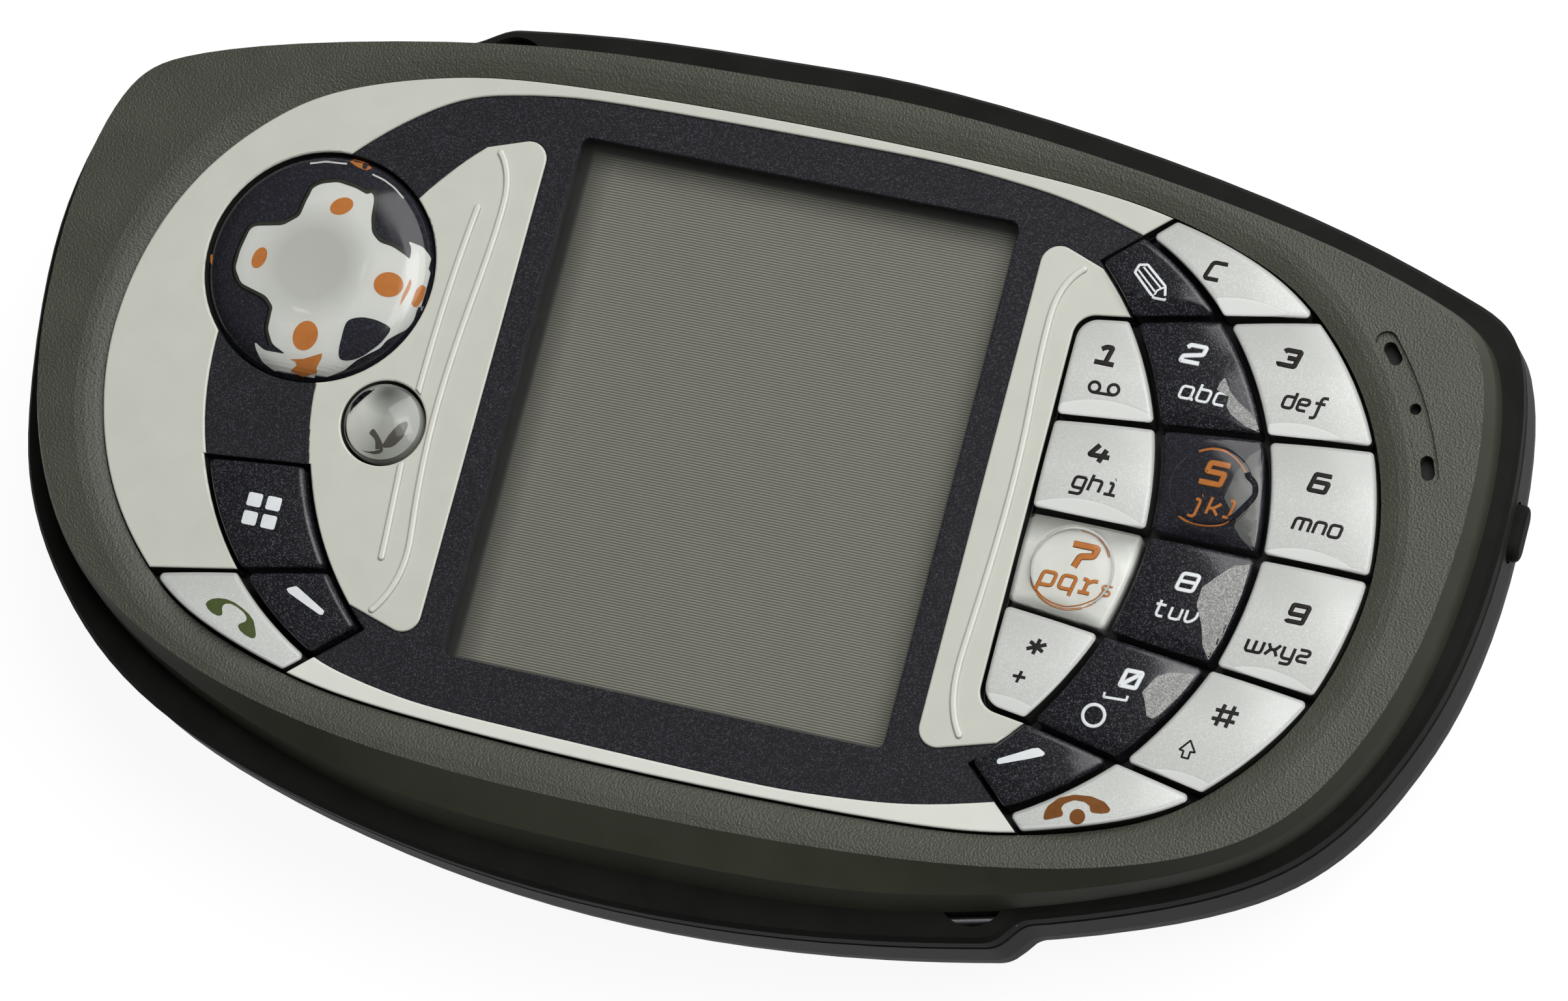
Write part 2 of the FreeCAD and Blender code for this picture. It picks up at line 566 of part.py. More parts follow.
def rear_housing():
    body = stack(*REAR, ("body", 0, SPLIT_Z - 0.35), ("body", -0.3, SPLIT_Z))
    inside = stack(("edge", -7.2, BACK_T), ("edge", -4.4, 3.4), ("edge", -2.6, 6.4),
                   ("edge", -1.8, 9.4), ("edge", -1.8, SPLIT_Z + 1))
    body = body.cut(inside)
    x0, x1, y0, y1 = BAY
    body = body.fuse(box(x0 - 1.2, x1 + 1.2, y0 - 1.2, y1 + 1.2, 0.2, BAY_CEILING + 1.2))
    body = body.fuse(box(x0 - 3.2, x1 + 3.2, y0 - 3.2, y1 + 3.2, 0.2, COVER_T + 1.3))
    for x, y in SCREWS:
        body = body.fuse(cyl(x, y, 4.0, BOARD_Z, 2.5))
    body = body.common(stack(*REAR, ("body", 0.08, 16.0)))
    skirt = stack(("edge", 0, SPLIT_Z), ("edge", 0, 16.5))
    body = body.cut(skirt.cut(stack(("edge", -1.9, SPLIT_Z - 1), ("edge", -1.9, 17.5))))
    for block in jack_blocks():
        body = body.cut(block)
    body = body.cut(box(x0, x1, y0, y1, -1, BAY_CEILING))
    body = body.cut(cover_plate(FIT, -1, COVER_T + 0.1))
    body = body.cut(box(27.0, 30.5, -8.3, 2.3, 0, 12))
    for x, y in SCREWS:
        body = body.cut(cyl(x, y, -1, 12.0, HEAD_R + 0.2)).cut(cyl(x, y, 0, TOP, SCREW_R + 0.15))
    for x, z, r, length in (CHARGER, HEADSET):
        body = body.cut(Part.makeCylinder(r + 0.25, 12, V(x, JACK_Y - 0.4, z), V(0, 1, 0)))
    body = body.cut(flap_pocket(FIT, FLAP_T + 0.3, FLAP_ROOM))
    body = body.cut(box(-12.8, 12.8, 25, 36, CARD_Z[0] - 0.2, CARD_Z[1] + 0.2))
    body = body.cut(power_prism(52, 64, FIT))
    for i in range(-2, 3):
        body = body.cut(rounded(42 - 4.5 + abs(i), 42 + 4.5 - abs(i), 2 * i - 0.4, 2 * i + 0.4, -1, 3, 0.39))
    body = body.cut(cyl(-25.5, -26.8, -1, 10, 0.5))
    for spot in STRAP:
        body = body.cut(strap_hole(spot))
    return largest(body)


def strap_pin_bodies():
    pins = []
    for x, y, turn in STRAP:
        a = radians(turn)
        along = V(cos(a), sin(a), 0)
        out = V(sin(a), -cos(a), 0) * 0.45
        pins.append(Part.makeCylinder(0.45, 6.4, V(x, y, 15.1) + out - along * 3.2, along))
    return pins


def cover_plate(off, z0, z1):
    x0, x1, y0, y1 = BAY
    return rounded(x0 - 2.2 - off, x1 + 2.2 + off, y0 - 2.2 - off, y1 + 2.2 + off, z0, z1, 3.0 + off)


def battery_cover():
    plate = cover_plate(0, 0, COVER_T)
    plate = plate.makeFillet(0.4, level_edges(plate, 0.0))
    notch = Part.makeSphere(14.0, V(2.0, -19.5, -13.4))
    x0, x1, y0, y1 = BAY
    rails = box(x0 + 0.4, x1 - 0.4, y1 - 1.4, y1 - 0.3, COVER_T, COVER_T + 1.2)
    rails = rails.fuse(box(x0 + 0.4, x1 - 0.4, y0 + 0.1, y0 + 0.4, COVER_T, COVER_T + 1.2))
    rails = rails.cut(box(-27, 27, -21, 14, COVER_T + 0.3, 9))
    return plate.cut(notch).fuse(rails)


def flap_pocket(off, depth, room):
    """Volume of the card flap against the outside of the housing."""
    z0, z1 = FLAP_Z[0] - off, FLAP_Z[1] + off + room
    ring_out = stack(("body", 1.0, z0), ("body", 1.0, z1))
    ring_in = stack(("body", -depth, z0 - 1), ("body", -depth, z1 + 1))
    slab = box(-FLAP_W / 2 - off, FLAP_W / 2 + off, 20, 60, z0, z1)
    return ring_out.cut(ring_in).common(slab)


def card_flap():
    outer = stack(*REAR, ("body", 0, 15.0))
    body = flap_pocket(0, FLAP_T, 0).common(outer)
    tongue = box(-11.8, 11.8, 29.2, 31.05, CARD_Z[0] + 0.2, CARD_Z[1] - 0.5)
    return largest(body.fuse(tongue))


def power_prism(x0, x1, off):
    """Oval prism along X for the power key."""
    y, z = POWER
    body = Part.makeBox(x1 - x0, 2.0, 2 * (1.25 + off), V(x0, y - 1.0, z - 1.25 - off))
    for dy in (-1.0, 1.0):
        body = body.fuse(Part.makeCylinder(1.25 + off, x1 - x0, V(x0, y + dy, z), V(1, 0, 0)))
    return body.removeSplitter()


def power_key():
    y, z = POWER
    stem = power_prism(56.0, POWER_TIP, 0)
    tip = [e for e in stem.Edges if e.BoundBox.XMin > POWER_TIP - 0.01]
    stem = stem.makeFillet(0.45, tip)
    return stem.fuse(Part.makeBox(0.6, 6.0, 3.4, V(55.5, y - 3.0, z - 1.7)))


def dpad():
    x, y = DPAD
    up = Part.BSplineCurve()
    up.interpolate([V(DPAD_R, 0, 20.55), V(DPAD_R - 0.55, 0, 21.15), V(6.6, 0, 21.75), V(4.2, 0, 21.98),
                    V(2.2, 0, 21.84), V(0, 0, 21.72)])
    edges = [Part.makeLine(V(0, 0, 20.0), V(DPAD_R, 0, 20.0)),
             Part.makeLine(V(DPAD_R, 0, 20.0), V(DPAD_R, 0, 20.55)), up.toShape(),
             Part.makeLine(V(0, 0, 21.72), V(0, 0, 20.0))]
    lens = Part.Face(Part.Wire(edges)).revolve(V(0, 0, 0), V(0, 0, 1), 360)
    lens.translate(V(x, y, 0))
    core = cyl(x, y, 18.4, 20.0, DPAD_R)
    core = core.fuse(cyl(x, y, 18.0, 18.4, 2.0))
    for i in range(4):
        a = radians(90 * i)
        core = core.fuse(cyl(x + 6 * cos(a), y + 6 * sin(a), 17.0, 18.4, 0.9))
    pivot = cyl(x, y, 16.9, 17.7, 3.2).cut(cyl(x, y, 16, 18, 2.2))
    for a in (0, 90):
        bar = box(-3.0, 3.0, -0.5, 0.5, 16.9, 17.7)
        bar.rotate(V(0, 0, 0), V(0, 0, 1), a)
        bar.translate(V(x, y, 0))
        pivot = pivot.fuse(bar)
    return {"dpad_lens": lens, "dpad_core": core, "dpad_pivot": pivot.removeSplitter()}


def select():
    x, y = SELECT
    dome = Part.makeSphere(6.0, V(x, y, 21.75 - 6.0))
    lens = cyl(x, y, 19.5, 23, SELECT_R).common(dome)
    rim = [e for f in lens.Faces if isinstance(f.Surface, Part.Sphere) for e in f.Edges]
    lens = lens.makeFillet(0.25, [e for e in rim if e.Length > 5])
    core = cyl(x, y, KEY_BOTTOM, 19.5, SELECT_R)
    return {"select_lens": lens, "select_key": core}


def keymats():
    tall = TOP
    right = right_block(0.9, MAT_Z, FRAME_Z).common(box(23.0, TOP, -TOP, TOP, 0, tall))
    right = right.common(oval(1.0, 0, tall))
    left = left_block(0.9, MAT_Z, FRAME_Z).common(oval(1.0, 0, tall))
    left = left.common(box(-TOP, -21.6, -TOP, TOP, 0, tall))
    left = left.fuse(cyl(*SELECT, MAT_Z, FRAME_Z, 3.9))
    left = left.fuse(box(-33.0, -26.4, -11.0, -4.4, MAT_Z, FRAME_Z))
    left = left.cut(cyl(DPAD[0], DPAD[1], 0, tall, DPAD_R + 0.6))
    for x, y in SCREWS:
        right = right.cut(cyl(x, y, 0, tall, 2.2))
        left = left.cut(cyl(x, y, 0, tall, 2.2))
    for name, centre in KEY_CENTRES.items():
        nub = cyl(*centre, 16.55, MAT_Z, 1.0)
        if centre[0] > 0:
            right = right.fuse(nub)
        else:
            left = left.fuse(nub)
    return {"keymat_left": left, "keymat_right": right}


def boards():
    board = stack(("edge", -4.2, BOARD_Z), ("edge", -4.2, BOARD_TOP))
    for x, y in SCREWS:
        board = board.cut(cyl(x, y, 0, TOP, SCREW_R + 0.15))
    domes = None
    spots = list(KEY_CENTRES.values())
    for i in range(4):
        a = radians(90 * i)
        spots.append((DPAD[0] + 6 * cos(a), DPAD[1] + 6 * sin(a)))
    for x, y in spots:
        disc = Part.makeCone(2.0, 1.1, 0.35, V(x, y, BOARD_TOP))
        domes = disc if domes is None else domes.fuse(disc)
    cans = box(-46, -18, -11, 12, 12.7, BOARD_Z).fuse(box(33, 47, -12, 13, 12.7, BOARD_Z))
    cans = cans.fuse(box(-14, 14, -17, -3, 12.7, BOARD_Z))
    return {"circuit_board": board, "dome_switches": domes, "shield_cans": cans}


def display_parts():
    module = box(-19.5, 19.5, -23.4, 22.8, 16.5, FRAME_Z)
    tray = box(-20.0, 20.0, -23.9, 23.3, BOARD_TOP, 17.6).cut(module)
    return {"lcd_module": module, "lcd_frame": tray}


def power_parts():
    x0, x1, y0, y1, z0, z1 = BATTERY
    cell = box(x0, x1, y0, y1, z0, z1)
    cell = cell.makeFillet(1.2, [e for e in cell.Edges if e.Length > 50])
    block = box(27.3, 30.2, -8.0, 2.0, 4.0, BOARD_Z)
    for y in (-6.0, -3.0, 0.0):
        block = block.fuse(box(x1, 27.3, y - 0.6, y + 0.6, 4.4, 6.6))
    holder = box(-24, 4, -16, 1, 7.6, BAY_CEILING).cut(box(-23, 5, -15, 0, 7.9, 8.8))
    return {"battery": cell, "battery_contacts": block, "sim_holder": holder}


def sockets():
    made = {}
    for name, jack, body in zip(("charger_jack", "headset_jack"), (CHARGER, HEADSET), jack_blocks()):
        x, z, r, length = jack
        made[name] = body.cut(Part.makeCylinder(r, length, V(x, JACK_Y, z), V(0, -1, 0)))
    y0, y1 = CARD_Y
    card = box(-14.4, 14.4, y0, y1, 10.4, BOARD_Z)
    made["card_socket"] = card.cut(box(-12.2, 12.2, y0 + 1, y1 + 1, *CARD_Z))
    return made


def sound_parts():
    ear = arc_slot(27.6, 22, 37.5, 1.85, BOARD_TOP, 18.6)
    mesh = arc_slot(27.6, 19.5, 40.0, 0.9, 18.6, PLATE_Z)
    speaker = cyl(42, 0, BACK_T, 4.4, 7.4).fuse(cyl(42, 0, 4.4, 5.2, 4.5))
    mic = cyl(-25.5, -26.8, 12.9, BOARD_Z, 1.9)
    motor = Part.makeCylinder(2.1, 9.0, V(-42, -6, BACK_T + 2.1), V(0, 1, 0))
    weight = Part.makeCylinder(1.9, 3.5, V(-42, 3.3, BACK_T + 2.1), V(0, 1, 0))
    weight = weight.cut(box(-50, -30, 0, 10, BACK_T + 2.3, 10))
    shaft = Part.makeCylinder(0.4, 5.0, V(-42, 2.9, BACK_T + 2.1), V(0, 1, 0))
    motor = motor.fuse(shaft).fuse(weight)
    return {"earpiece": ear, "earpiece_mesh": mesh, "loudspeaker": speaker, "microphone": mic,
            "vibration_motor": motor}


def screws():
    made = None
    for x, y in SCREWS:
        screw = cyl(x, y, 10.8, 12.0, HEAD_R).fuse(cyl(x, y, 12.0, PLATE_Z - 0.9, SCREW_R))
        screw = screw.cut(box(x - 1.0, x + 1.0, y - 0.2, y + 0.2, 10.0, 11.3))
        screw = screw.cut(box(x - 0.2, x + 0.2, y - 1.0, y + 1.0, 10.0, 11.3))
        made = screw if made is None else made.fuse(screw)
    return made


def other_parts():
    switch = box(51.4, 54.9, POWER[0] - 2.5, POWER[0] + 2.5, 10.4, BOARD_Z)
    antenna = box(-18, 18, -29.2, -22.0, 11.6, BOARD_Z)
    antenna = antenna.cut(box(-16.8, 16.8, -28.0, -23.2, 11, 14.0))
    pins = strap_pin_bodies()
    return {"power_switch": switch, "antenna": antenna, "strap_pins": pins[0].fuse(pins[1])}


def save(name, shape):
    if shape.ShapeType != "Solid" and len(shape.Solids) == 1:
        shape = shape.Solids[0]
    shape = shape.copy()
    shape.translate(SHIFT)
    shape.exportStep("parts/" + name + ".step")


os.makedirs("parts", exist_ok=True)
pieces = keys()
KEY_CENTRES = {name: (s.CenterOfMass.x, s.CenterOfMass.y) for name, s in pieces.items()}
KEY_CENTRES["select_key"] = SELECT
pieces.update(face_plates())
pieces["front_cover"] = front_cover()
pieces["bumper"] = bumper()
pieces["rear_housing"] = rear_housing()
pieces["battery_cover"] = battery_cover()
pieces["card_flap"] = card_flap()
pieces["power_key"] = power_key()
pieces.update(dpad())
pieces.update(select())
pieces.update(keymats())
pieces.update(boards())
pieces.update(display_parts())
pieces.update(power_parts())
pieces.update(sockets())
pieces.update(sound_parts())
pieces["housing_screws"] = screws()
pieces.update(other_parts())
for piece in sorted(pieces):
    save(piece, pieces[piece])
    b = pieces[piece].BoundBox
    print(piece, len(pieces[piece].Solids), pieces[piece].isValid(), round(pieces[piece].Volume, 1),
          [round(v, 2) for v in (b.XMin, b.XMax, b.YMin, b.YMax, b.ZMin, b.ZMax)])
print(len(pieces), "pieces")
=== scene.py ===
# %% [markdown]
# # A gaming phone on a white table
# The solids come from the CAD model: every shell, plate and key is already in its place, in metres.
# This file gives them their finishes, adds what is printed on the keys, and makes the clear lenses.
# We load the frame first and note the middle of the display window and the height of the face.

from math import cos, pi, radians, sin

import bmesh
import bpy
from mathutils import Matrix, Vector
from mathutils.bvhtree import BVHTree


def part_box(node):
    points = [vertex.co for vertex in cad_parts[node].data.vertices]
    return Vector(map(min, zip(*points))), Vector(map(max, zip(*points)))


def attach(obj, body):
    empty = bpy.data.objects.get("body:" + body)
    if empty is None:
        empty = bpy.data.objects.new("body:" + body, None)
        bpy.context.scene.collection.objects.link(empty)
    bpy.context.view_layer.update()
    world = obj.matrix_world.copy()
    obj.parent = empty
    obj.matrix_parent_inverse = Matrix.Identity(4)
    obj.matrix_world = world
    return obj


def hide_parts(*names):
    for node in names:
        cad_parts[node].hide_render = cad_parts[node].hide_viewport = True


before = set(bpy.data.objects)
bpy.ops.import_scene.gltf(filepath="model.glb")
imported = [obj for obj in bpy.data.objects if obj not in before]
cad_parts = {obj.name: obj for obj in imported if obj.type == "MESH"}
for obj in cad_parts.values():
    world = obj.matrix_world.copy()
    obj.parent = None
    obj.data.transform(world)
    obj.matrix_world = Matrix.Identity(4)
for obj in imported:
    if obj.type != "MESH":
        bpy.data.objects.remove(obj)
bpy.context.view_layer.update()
MM = 0.001
window_low, window_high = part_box("display_window")
middle = (window_low + window_high) / 2
face_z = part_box("display_bezel")[1].z

# %% [markdown]
# ## The camera
# The photograph is taken from above, a little from the side of the number keys, with a long lens
# and the camera rolled by about fifteen degrees. A long lens far away keeps the phone's edges
# nearly parallel. The place, the turn and the lens come from matching the corners of the display.

# %% Camera
camera_place = Vector((0.157385, -0.11271, 0.56105))
camera_data = bpy.data.cameras.new("camera")
camera_data.lens = 170.8
camera_data.sensor_width = 36
camera = bpy.data.objects.new("camera", camera_data)
camera.location = camera_place
camera.rotation_euler = (0.259355, 0.215155, 0.261657)
bpy.context.collection.objects.link(camera)
bpy.context.scene.camera = camera
print("camera is", round(camera_place.length, 3), "m from the phone")

# %% [markdown]
# ## Table and light
# The table is pale, and shows as plain white to the camera and in every reflection, while a
# part of its colour comes from the lamps so that the phone still throws a soft shadow on it.
# One large soft box hangs beyond the top edge of the phone, to the right. It leaves the lower side
# in shadow, and its mirror image falls on the edges of the bulging key caps and stays off the
# flat plates, so these keep their colour. A small weak one above the right half puts the soft
# highlights on the D-pad and the dark keys. The room itself is dim.

# %% Table, soft boxes, room
def mesh_object(name, bm):
    """Turns a bmesh into an object that sits at the origin."""
    mesh = bpy.data.meshes.new(name)
    bm.to_mesh(mesh)
    bm.free()
    piece = bpy.data.objects.new(name, mesh)
    bpy.context.collection.objects.link(piece)
    return piece


def add(material, kind, inputs=None, **settings):
    """Adds a shader node with its inputs and settings."""
    made = material.node_tree.nodes.new(kind)
    for key, value in settings.items():
        setattr(made, key, value)
    for key, value in (inputs or {}).items():
        made.inputs[key].default_value = value
    return made


def link(material, out, into):
    material.node_tree.links.new(out, into)


bm = bmesh.new()
bmesh.ops.create_grid(bm, x_segments=1, y_segments=1, size=4.0)
table = mesh_object("table", bm)
table_white = bpy.data.materials.new("table_white")
table_white.use_nodes = True
table_white.node_tree.nodes.clear()
table_out = add(table_white, "ShaderNodeOutputMaterial")
lit = add(table_white, "ShaderNodeBsdfDiffuse", {"Color": (0.1, 0.1, 0.1, 1)})
dim = add(table_white, "ShaderNodeBsdfDiffuse", {"Color": (0.12, 0.12, 0.12, 1)})
glow = add(table_white, "ShaderNodeEmission", {"Strength": 0.93})
paper = add(table_white, "ShaderNodeAddShader")
ray = add(table_white, "ShaderNodeLightPath")
seen_or_mirrored = add(table_white, "ShaderNodeMath", operation="MAXIMUM")
seen_at_all = add(table_white, "ShaderNodeMath", operation="MAXIMUM")
choose = add(table_white, "ShaderNodeMixShader")
for out, into in (
        (ray.outputs["Is Camera Ray"], seen_or_mirrored.inputs[0]),
        (ray.outputs["Is Glossy Ray"], seen_or_mirrored.inputs[1]),
        (seen_or_mirrored.outputs[0], seen_at_all.inputs[0]),
        (ray.outputs["Is Transmission Ray"], seen_at_all.inputs[1]),
        (dim.outputs[0], paper.inputs[0]), (glow.outputs[0], paper.inputs[1]),
        (seen_at_all.outputs[0], choose.inputs[0]), (lit.outputs[0], choose.inputs[1]),
        (paper.outputs[0], choose.inputs[2]), (choose.outputs[0], table_out.inputs["Surface"])):
    link(table_white, out, into)
table.data.materials.append(table_white)


def soft_box(name, place, aim, width, height, watts):
    """Rectangular soft light that points from a place at a target."""
    data = bpy.data.lights.new(name, "AREA")
    data.shape = "RECTANGLE"
    data.size, data.size_y, data.energy = width, height, watts
    lamp = bpy.data.objects.new(name, data)
    turn = (Vector(aim) - Vector(place)).to_track_quat("-Z", "Y").to_matrix().to_4x4()
    lamp.matrix_world = Matrix.Translation(place) @ turn
    bpy.context.collection.objects.link(lamp)


soft_box("top_box", (0.26, 0.3, 0.55), (0, 0, 0), 0.8, 0.55, 5.1)
soft_box("over_box", (0.16, 0.11, 0.6), (0.03, 0.03, 0), 0.3, 0.26, 0.75)
room = bpy.data.worlds.new("room")
bpy.context.scene.world = room
room.use_nodes = True
room.node_tree.nodes["Background"].inputs["Color"].default_value = (0.07, 0.07, 0.07, 1)
bpy.context.scene.view_settings.view_transform = "Standard"

# %% [markdown]
# ## Finishes: the helpers
# A moulded part is never one flat colour. Each finish below starts as a Principled shader with a
# colour as the eye reads it on a screen. Then it gets a fine grain as a bump, and a faint change
# of colour from place to place. All patterns use object coordinates in metres, so a scale of
# 1000 means one cell per millimetre.

# %% Finish helpers
def linear(red, green, blue):
    """Screen colour from 0 to 255 as the linear colour that a shader takes."""
    parts = [c / 255 for c in (red, green, blue)]
    return tuple(c / 12.92 if c <= 0.04045 else ((c + 0.055) / 1.055) ** 2.4 for c in parts) + (1,)


def shader_of(material):
    return material.node_tree.nodes["Principled BSDF"]


def finish(name, colour, rough, shine=0.5, **sockets):
    """Painted or moulded material. Further inputs are given by name, with _ for a blank."""
    material = bpy.data.materials.new(name)
    material.use_nodes = True
    shader = shader_of(material)
    shader.inputs["Base Color"].default_value = linear(*colour)
    shader.inputs["Roughness"].default_value = rough
    shader.inputs["Specular IOR Level"].default_value = shine
    for key, value in sockets.items():
        shader.inputs[key.replace("_", " ")].default_value = value
    return material


def place_of(material):
    return add(material, "ShaderNodeTexCoord").outputs["Object"]


def parts_of(material, vector=None):
    """The X, Y and Z of a vector, or else of the place, each by its letter."""
    split = add(material, "ShaderNodeSeparateXYZ")
    link(material, vector or place_of(material), split.inputs[0])
    return split.outputs


def lean_of(material):
    """The X, Y and Z of the direction that the surface faces."""
    return parts_of(material, add(material, "ShaderNodeNewGeometry").outputs["Normal"])


def noise(material, per_mm, detail):
    made = add(material, "ShaderNodeTexNoise", {"Scale": per_mm * 1000, "Detail": detail})
    link(material, place_of(material), made.inputs["Vector"])
    return made


def grain(material, per_mm, depth_mm, socket="Normal", detail=2.0, mask=None):
    """Fine moulded grain as a bump."""
    bump = add(material, "ShaderNodeBump", {"Distance": depth_mm * MM, "Strength": 1.0})
    link(material, noise(material, per_mm, detail).outputs["Fac"], bump.inputs["Height"])
    if mask:
        link(material, mask, bump.inputs["Strength"])
    link(material, bump.outputs["Normal"], shader_of(material).inputs[socket])


def ramp(material, value, low, high, out_low=0.0, out_high=1.0):
    """Maps a value from one range to another, without leaving the new range."""
    made = add(material, "ShaderNodeMapRange",
               {"From Min": low, "From Max": high, "To Min": out_low, "To Max": out_high})
    link(material, value, made.inputs["Value"])
    return made.outputs["Result"]


def blend_colour(material, share, first, second):
    """Base colour that goes from a first to a second colour by a share."""
    mix = add(material, "ShaderNodeMix", data_type="RGBA")
    mix.inputs["A"].default_value = linear(*first)
    mix.inputs["B"].default_value = linear(*second)
    link(material, share, mix.inputs["Factor"])
    link(material, mix.outputs["Result"], shader_of(material).inputs["Base Color"])


def mottle(material, first, second, per_mm=0.25):
    """Faint clouds between two near colours."""
    cloud = noise(material, per_mm, 3.0)
    blend_colour(material, ramp(material, cloud.outputs["Fac"], 0.3, 0.7), first, second)


def towards(material, share, colour):
    """Blends the base colour so far towards another one."""
    colour_in = shader_of(material).inputs["Base Color"]
    mix = add(material, "ShaderNodeMix", data_type="RGBA")
    mix.inputs["B"].default_value = linear(*colour)
    link(material, colour_in.links[0].from_socket, mix.inputs["A"])
    link(material, share, mix.inputs["Factor"])
    link(material, mix.outputs["Result"], colour_in)


def painted_shade_on_walls(material, colour):
    """Darkens the upright sides of a painted piece towards a colour: painted shade for the gaps between
    parts.
    """
    towards(material, ramp(material, lean_of(material)["Z"], 0.1, 0.3, 1.0, 0.0), colour)


def painted_light_by_slope(material, colour, start, end):
    """Painted light: the base colour goes towards another colour from one lean in Y to another, as the
    surface faces the lamps more or less.
    """
    towards(material, ramp(material, lean_of(material)["Y"], start, end), colour)


def worn_edges(material, radius_mm):
    """Rounds every sharp edge in the shading, so that it catches a thin line of light."""
    soft = add(material, "ShaderNodeBevel", {"Radius": radius_mm * MM}, samples=4)
    for node in material.node_tree.nodes:
        if node.type == "BUMP":
            link(material, soft.outputs["Normal"], node.inputs["Normal"])


def ink(name, first, second, rough=0.6, shine=0.1, per_mm=1.5):
    """A matt printed colour with faint clouds."""
    material = finish(name, first, rough, shine)
    mottle(material, first, second, per_mm)
    return material


print("helpers ready")

# %% [markdown]
# ## The olive front cover
# The front cover is moulded in olive plastic. Its flat land has a leather-like etched grain, and
# the sloped rim around it is smoother. One mesh carries both, so the grain's strength is
# taken from the direction of the surface: full where it looks up, weak on the slopes. The
# slopes also reflect less, or they would mirror the bright table.

# %% Olive plastic
olive = finish("olive_etched", (65, 67, 56), 0.4)
facing_up = lean_of(olive)["Z"]
grain(olive, 5.5, 0.07, detail=3.0, mask=ramp(olive, facing_up, 0.9, 0.97, 0.12, 1.0))
link(olive, ramp(olive, facing_up, 0.75, 0.93, 0.05, 0.5), shader_of(olive).inputs["Specular IOR Level"])
mottle(olive, (62, 64, 53), (68, 70, 59))
print("olive", [round(c, 3) for c in linear(65, 67, 56)[:3]])

# %% [markdown]
# ## Rubber, housing and the pale plates
# The bumper is dull black rubber. The rear housing is a dark grey plastic with a finer grain.
# The pale plates and wings are painted, with an eggshell sheen.

# %% Rubber, housing, pale plates
rubber = finish("bumper_rubber", (28, 28, 26), 0.7, 0.06)
grain(rubber, 5.0, 0.02)
mottle(rubber, (25, 25, 24), (31, 31, 29))

housing = finish("housing_grey", (36, 37, 35), 0.6, 0.08)
grain(housing, 4.5, 0.03)
mottle(housing, (33, 34, 32), (39, 40, 38))


def pale_coat(name, first, second):
    """Pale paint with an eggshell sheen, and painted shade on its upright sides."""
    material = finish(name, first, 0.5, 0.2, Coat_Weight=0.6, Coat_Roughness=0.16)
    grain(material, 7.0, 0.004)
    mottle(material, first, second, 0.4)
    # Painted shade on the upright sides, for the gaps between the plates.
    painted_shade_on_walls(material, (40, 40, 36))
    worn_edges(material, 0.12)
    return material


pale = pale_coat("pale_paint", (202, 203, 192), (206, 207, 196))
# The lower trim is painted lighter than the plates, as painted light for a part that the lamps light less.
trim_paint_with_painted_light = pale_coat("trim_paint_with_painted_light", (222, 223, 214), (226, 227, 218))
# The raised lines on the wings get a painted highlight: their tops are a little lighter than the paint.
rib_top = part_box("wing_left")[1].z
wing_paint_rib_highlight = pale.copy()
wing_paint_rib_highlight.name = "wing_paint_rib_highlight"
height = parts_of(wing_paint_rib_highlight)["Z"]
towards(wing_paint_rib_highlight, ramp(wing_paint_rib_highlight, height, rib_top - 0.16 * MM, rib_top - 0.05 * MM), (215, 216, 207))
print("shell finishes ready")

# %% [markdown]
# ## Metallic paints
# The bezel and the dark keys are painted navy with tiny metal flakes, and the light keys are
# painted in pearl. Each Voronoi cell is one flake with a random brightness, and only the
# brightest few sparkle. A clear coat over the paint gives the gloss.

# %% Flake paints
def flakes(material, base, spark, per_mm, rare):
    """Metal flakes: a few cells of a fine cell pattern are much lighter than the paint."""
    cells = add(material, "ShaderNodeTexVoronoi", {"Scale": per_mm * 1000})
    link(material, place_of(material), cells.inputs["Vector"])
    split_cell = add(material, "ShaderNodeSeparateColor")
    link(material, cells.outputs["Color"], split_cell.inputs[0])
    blend_colour(material, ramp(material, split_cell.outputs["Red"], rare, 1.0), base, spark)


navy = finish("navy_flake", (36, 36, 40), 0.5, 0.1)
flakes(navy, (35, 35, 39), (72, 73, 78), 14.0, 0.72)
grain(navy, 8.0, 0.006)
worn_edges(navy, 0.25)

navy_gloss = finish("navy_gloss", (23, 23, 28), 0.5, 0.1, Coat_Weight=0.8, Coat_Roughness=0.1)
flakes(navy_gloss, (22, 22, 27), (84, 85, 92), 14.0, 0.74)
grain(navy_gloss, 7.0, 0.01)
grain(navy_gloss, 6.0, 0.004, socket="Coat Normal")
worn_edges(navy_gloss, 0.3)

pearl = finish("pearl_paint", (205, 207, 203), 0.35, 0.3, Coat_Weight=0.6, Coat_Roughness=0.15)
flakes(pearl, (204, 206, 202), (222, 224, 220), 14.0, 0.6)
grain(pearl, 7.0, 0.004)
# Painted light by slope: key tops leaning towards the top of the phone get painted shade, and lips leaning
# towards the bottom a painted highlight.
painted_light_by_slope(pearl, (182, 184, 180), 0.0, 0.16)
painted_light_by_slope(pearl, (242, 244, 240), -0.18, -0.33)
# Painted shade on the upright sides of the keys, for the gaps between them.
painted_shade_on_walls(pearl, (60, 60, 56))
worn_edges(pearl, 0.35)
print("paints ready")

# %% [markdown]
# ## Clear plastic and the window
# The clear plastic bends light by 1.42. A lamp's light would need many samples to find its way
# through it, so for shadow rays the material counts as plain transparent.

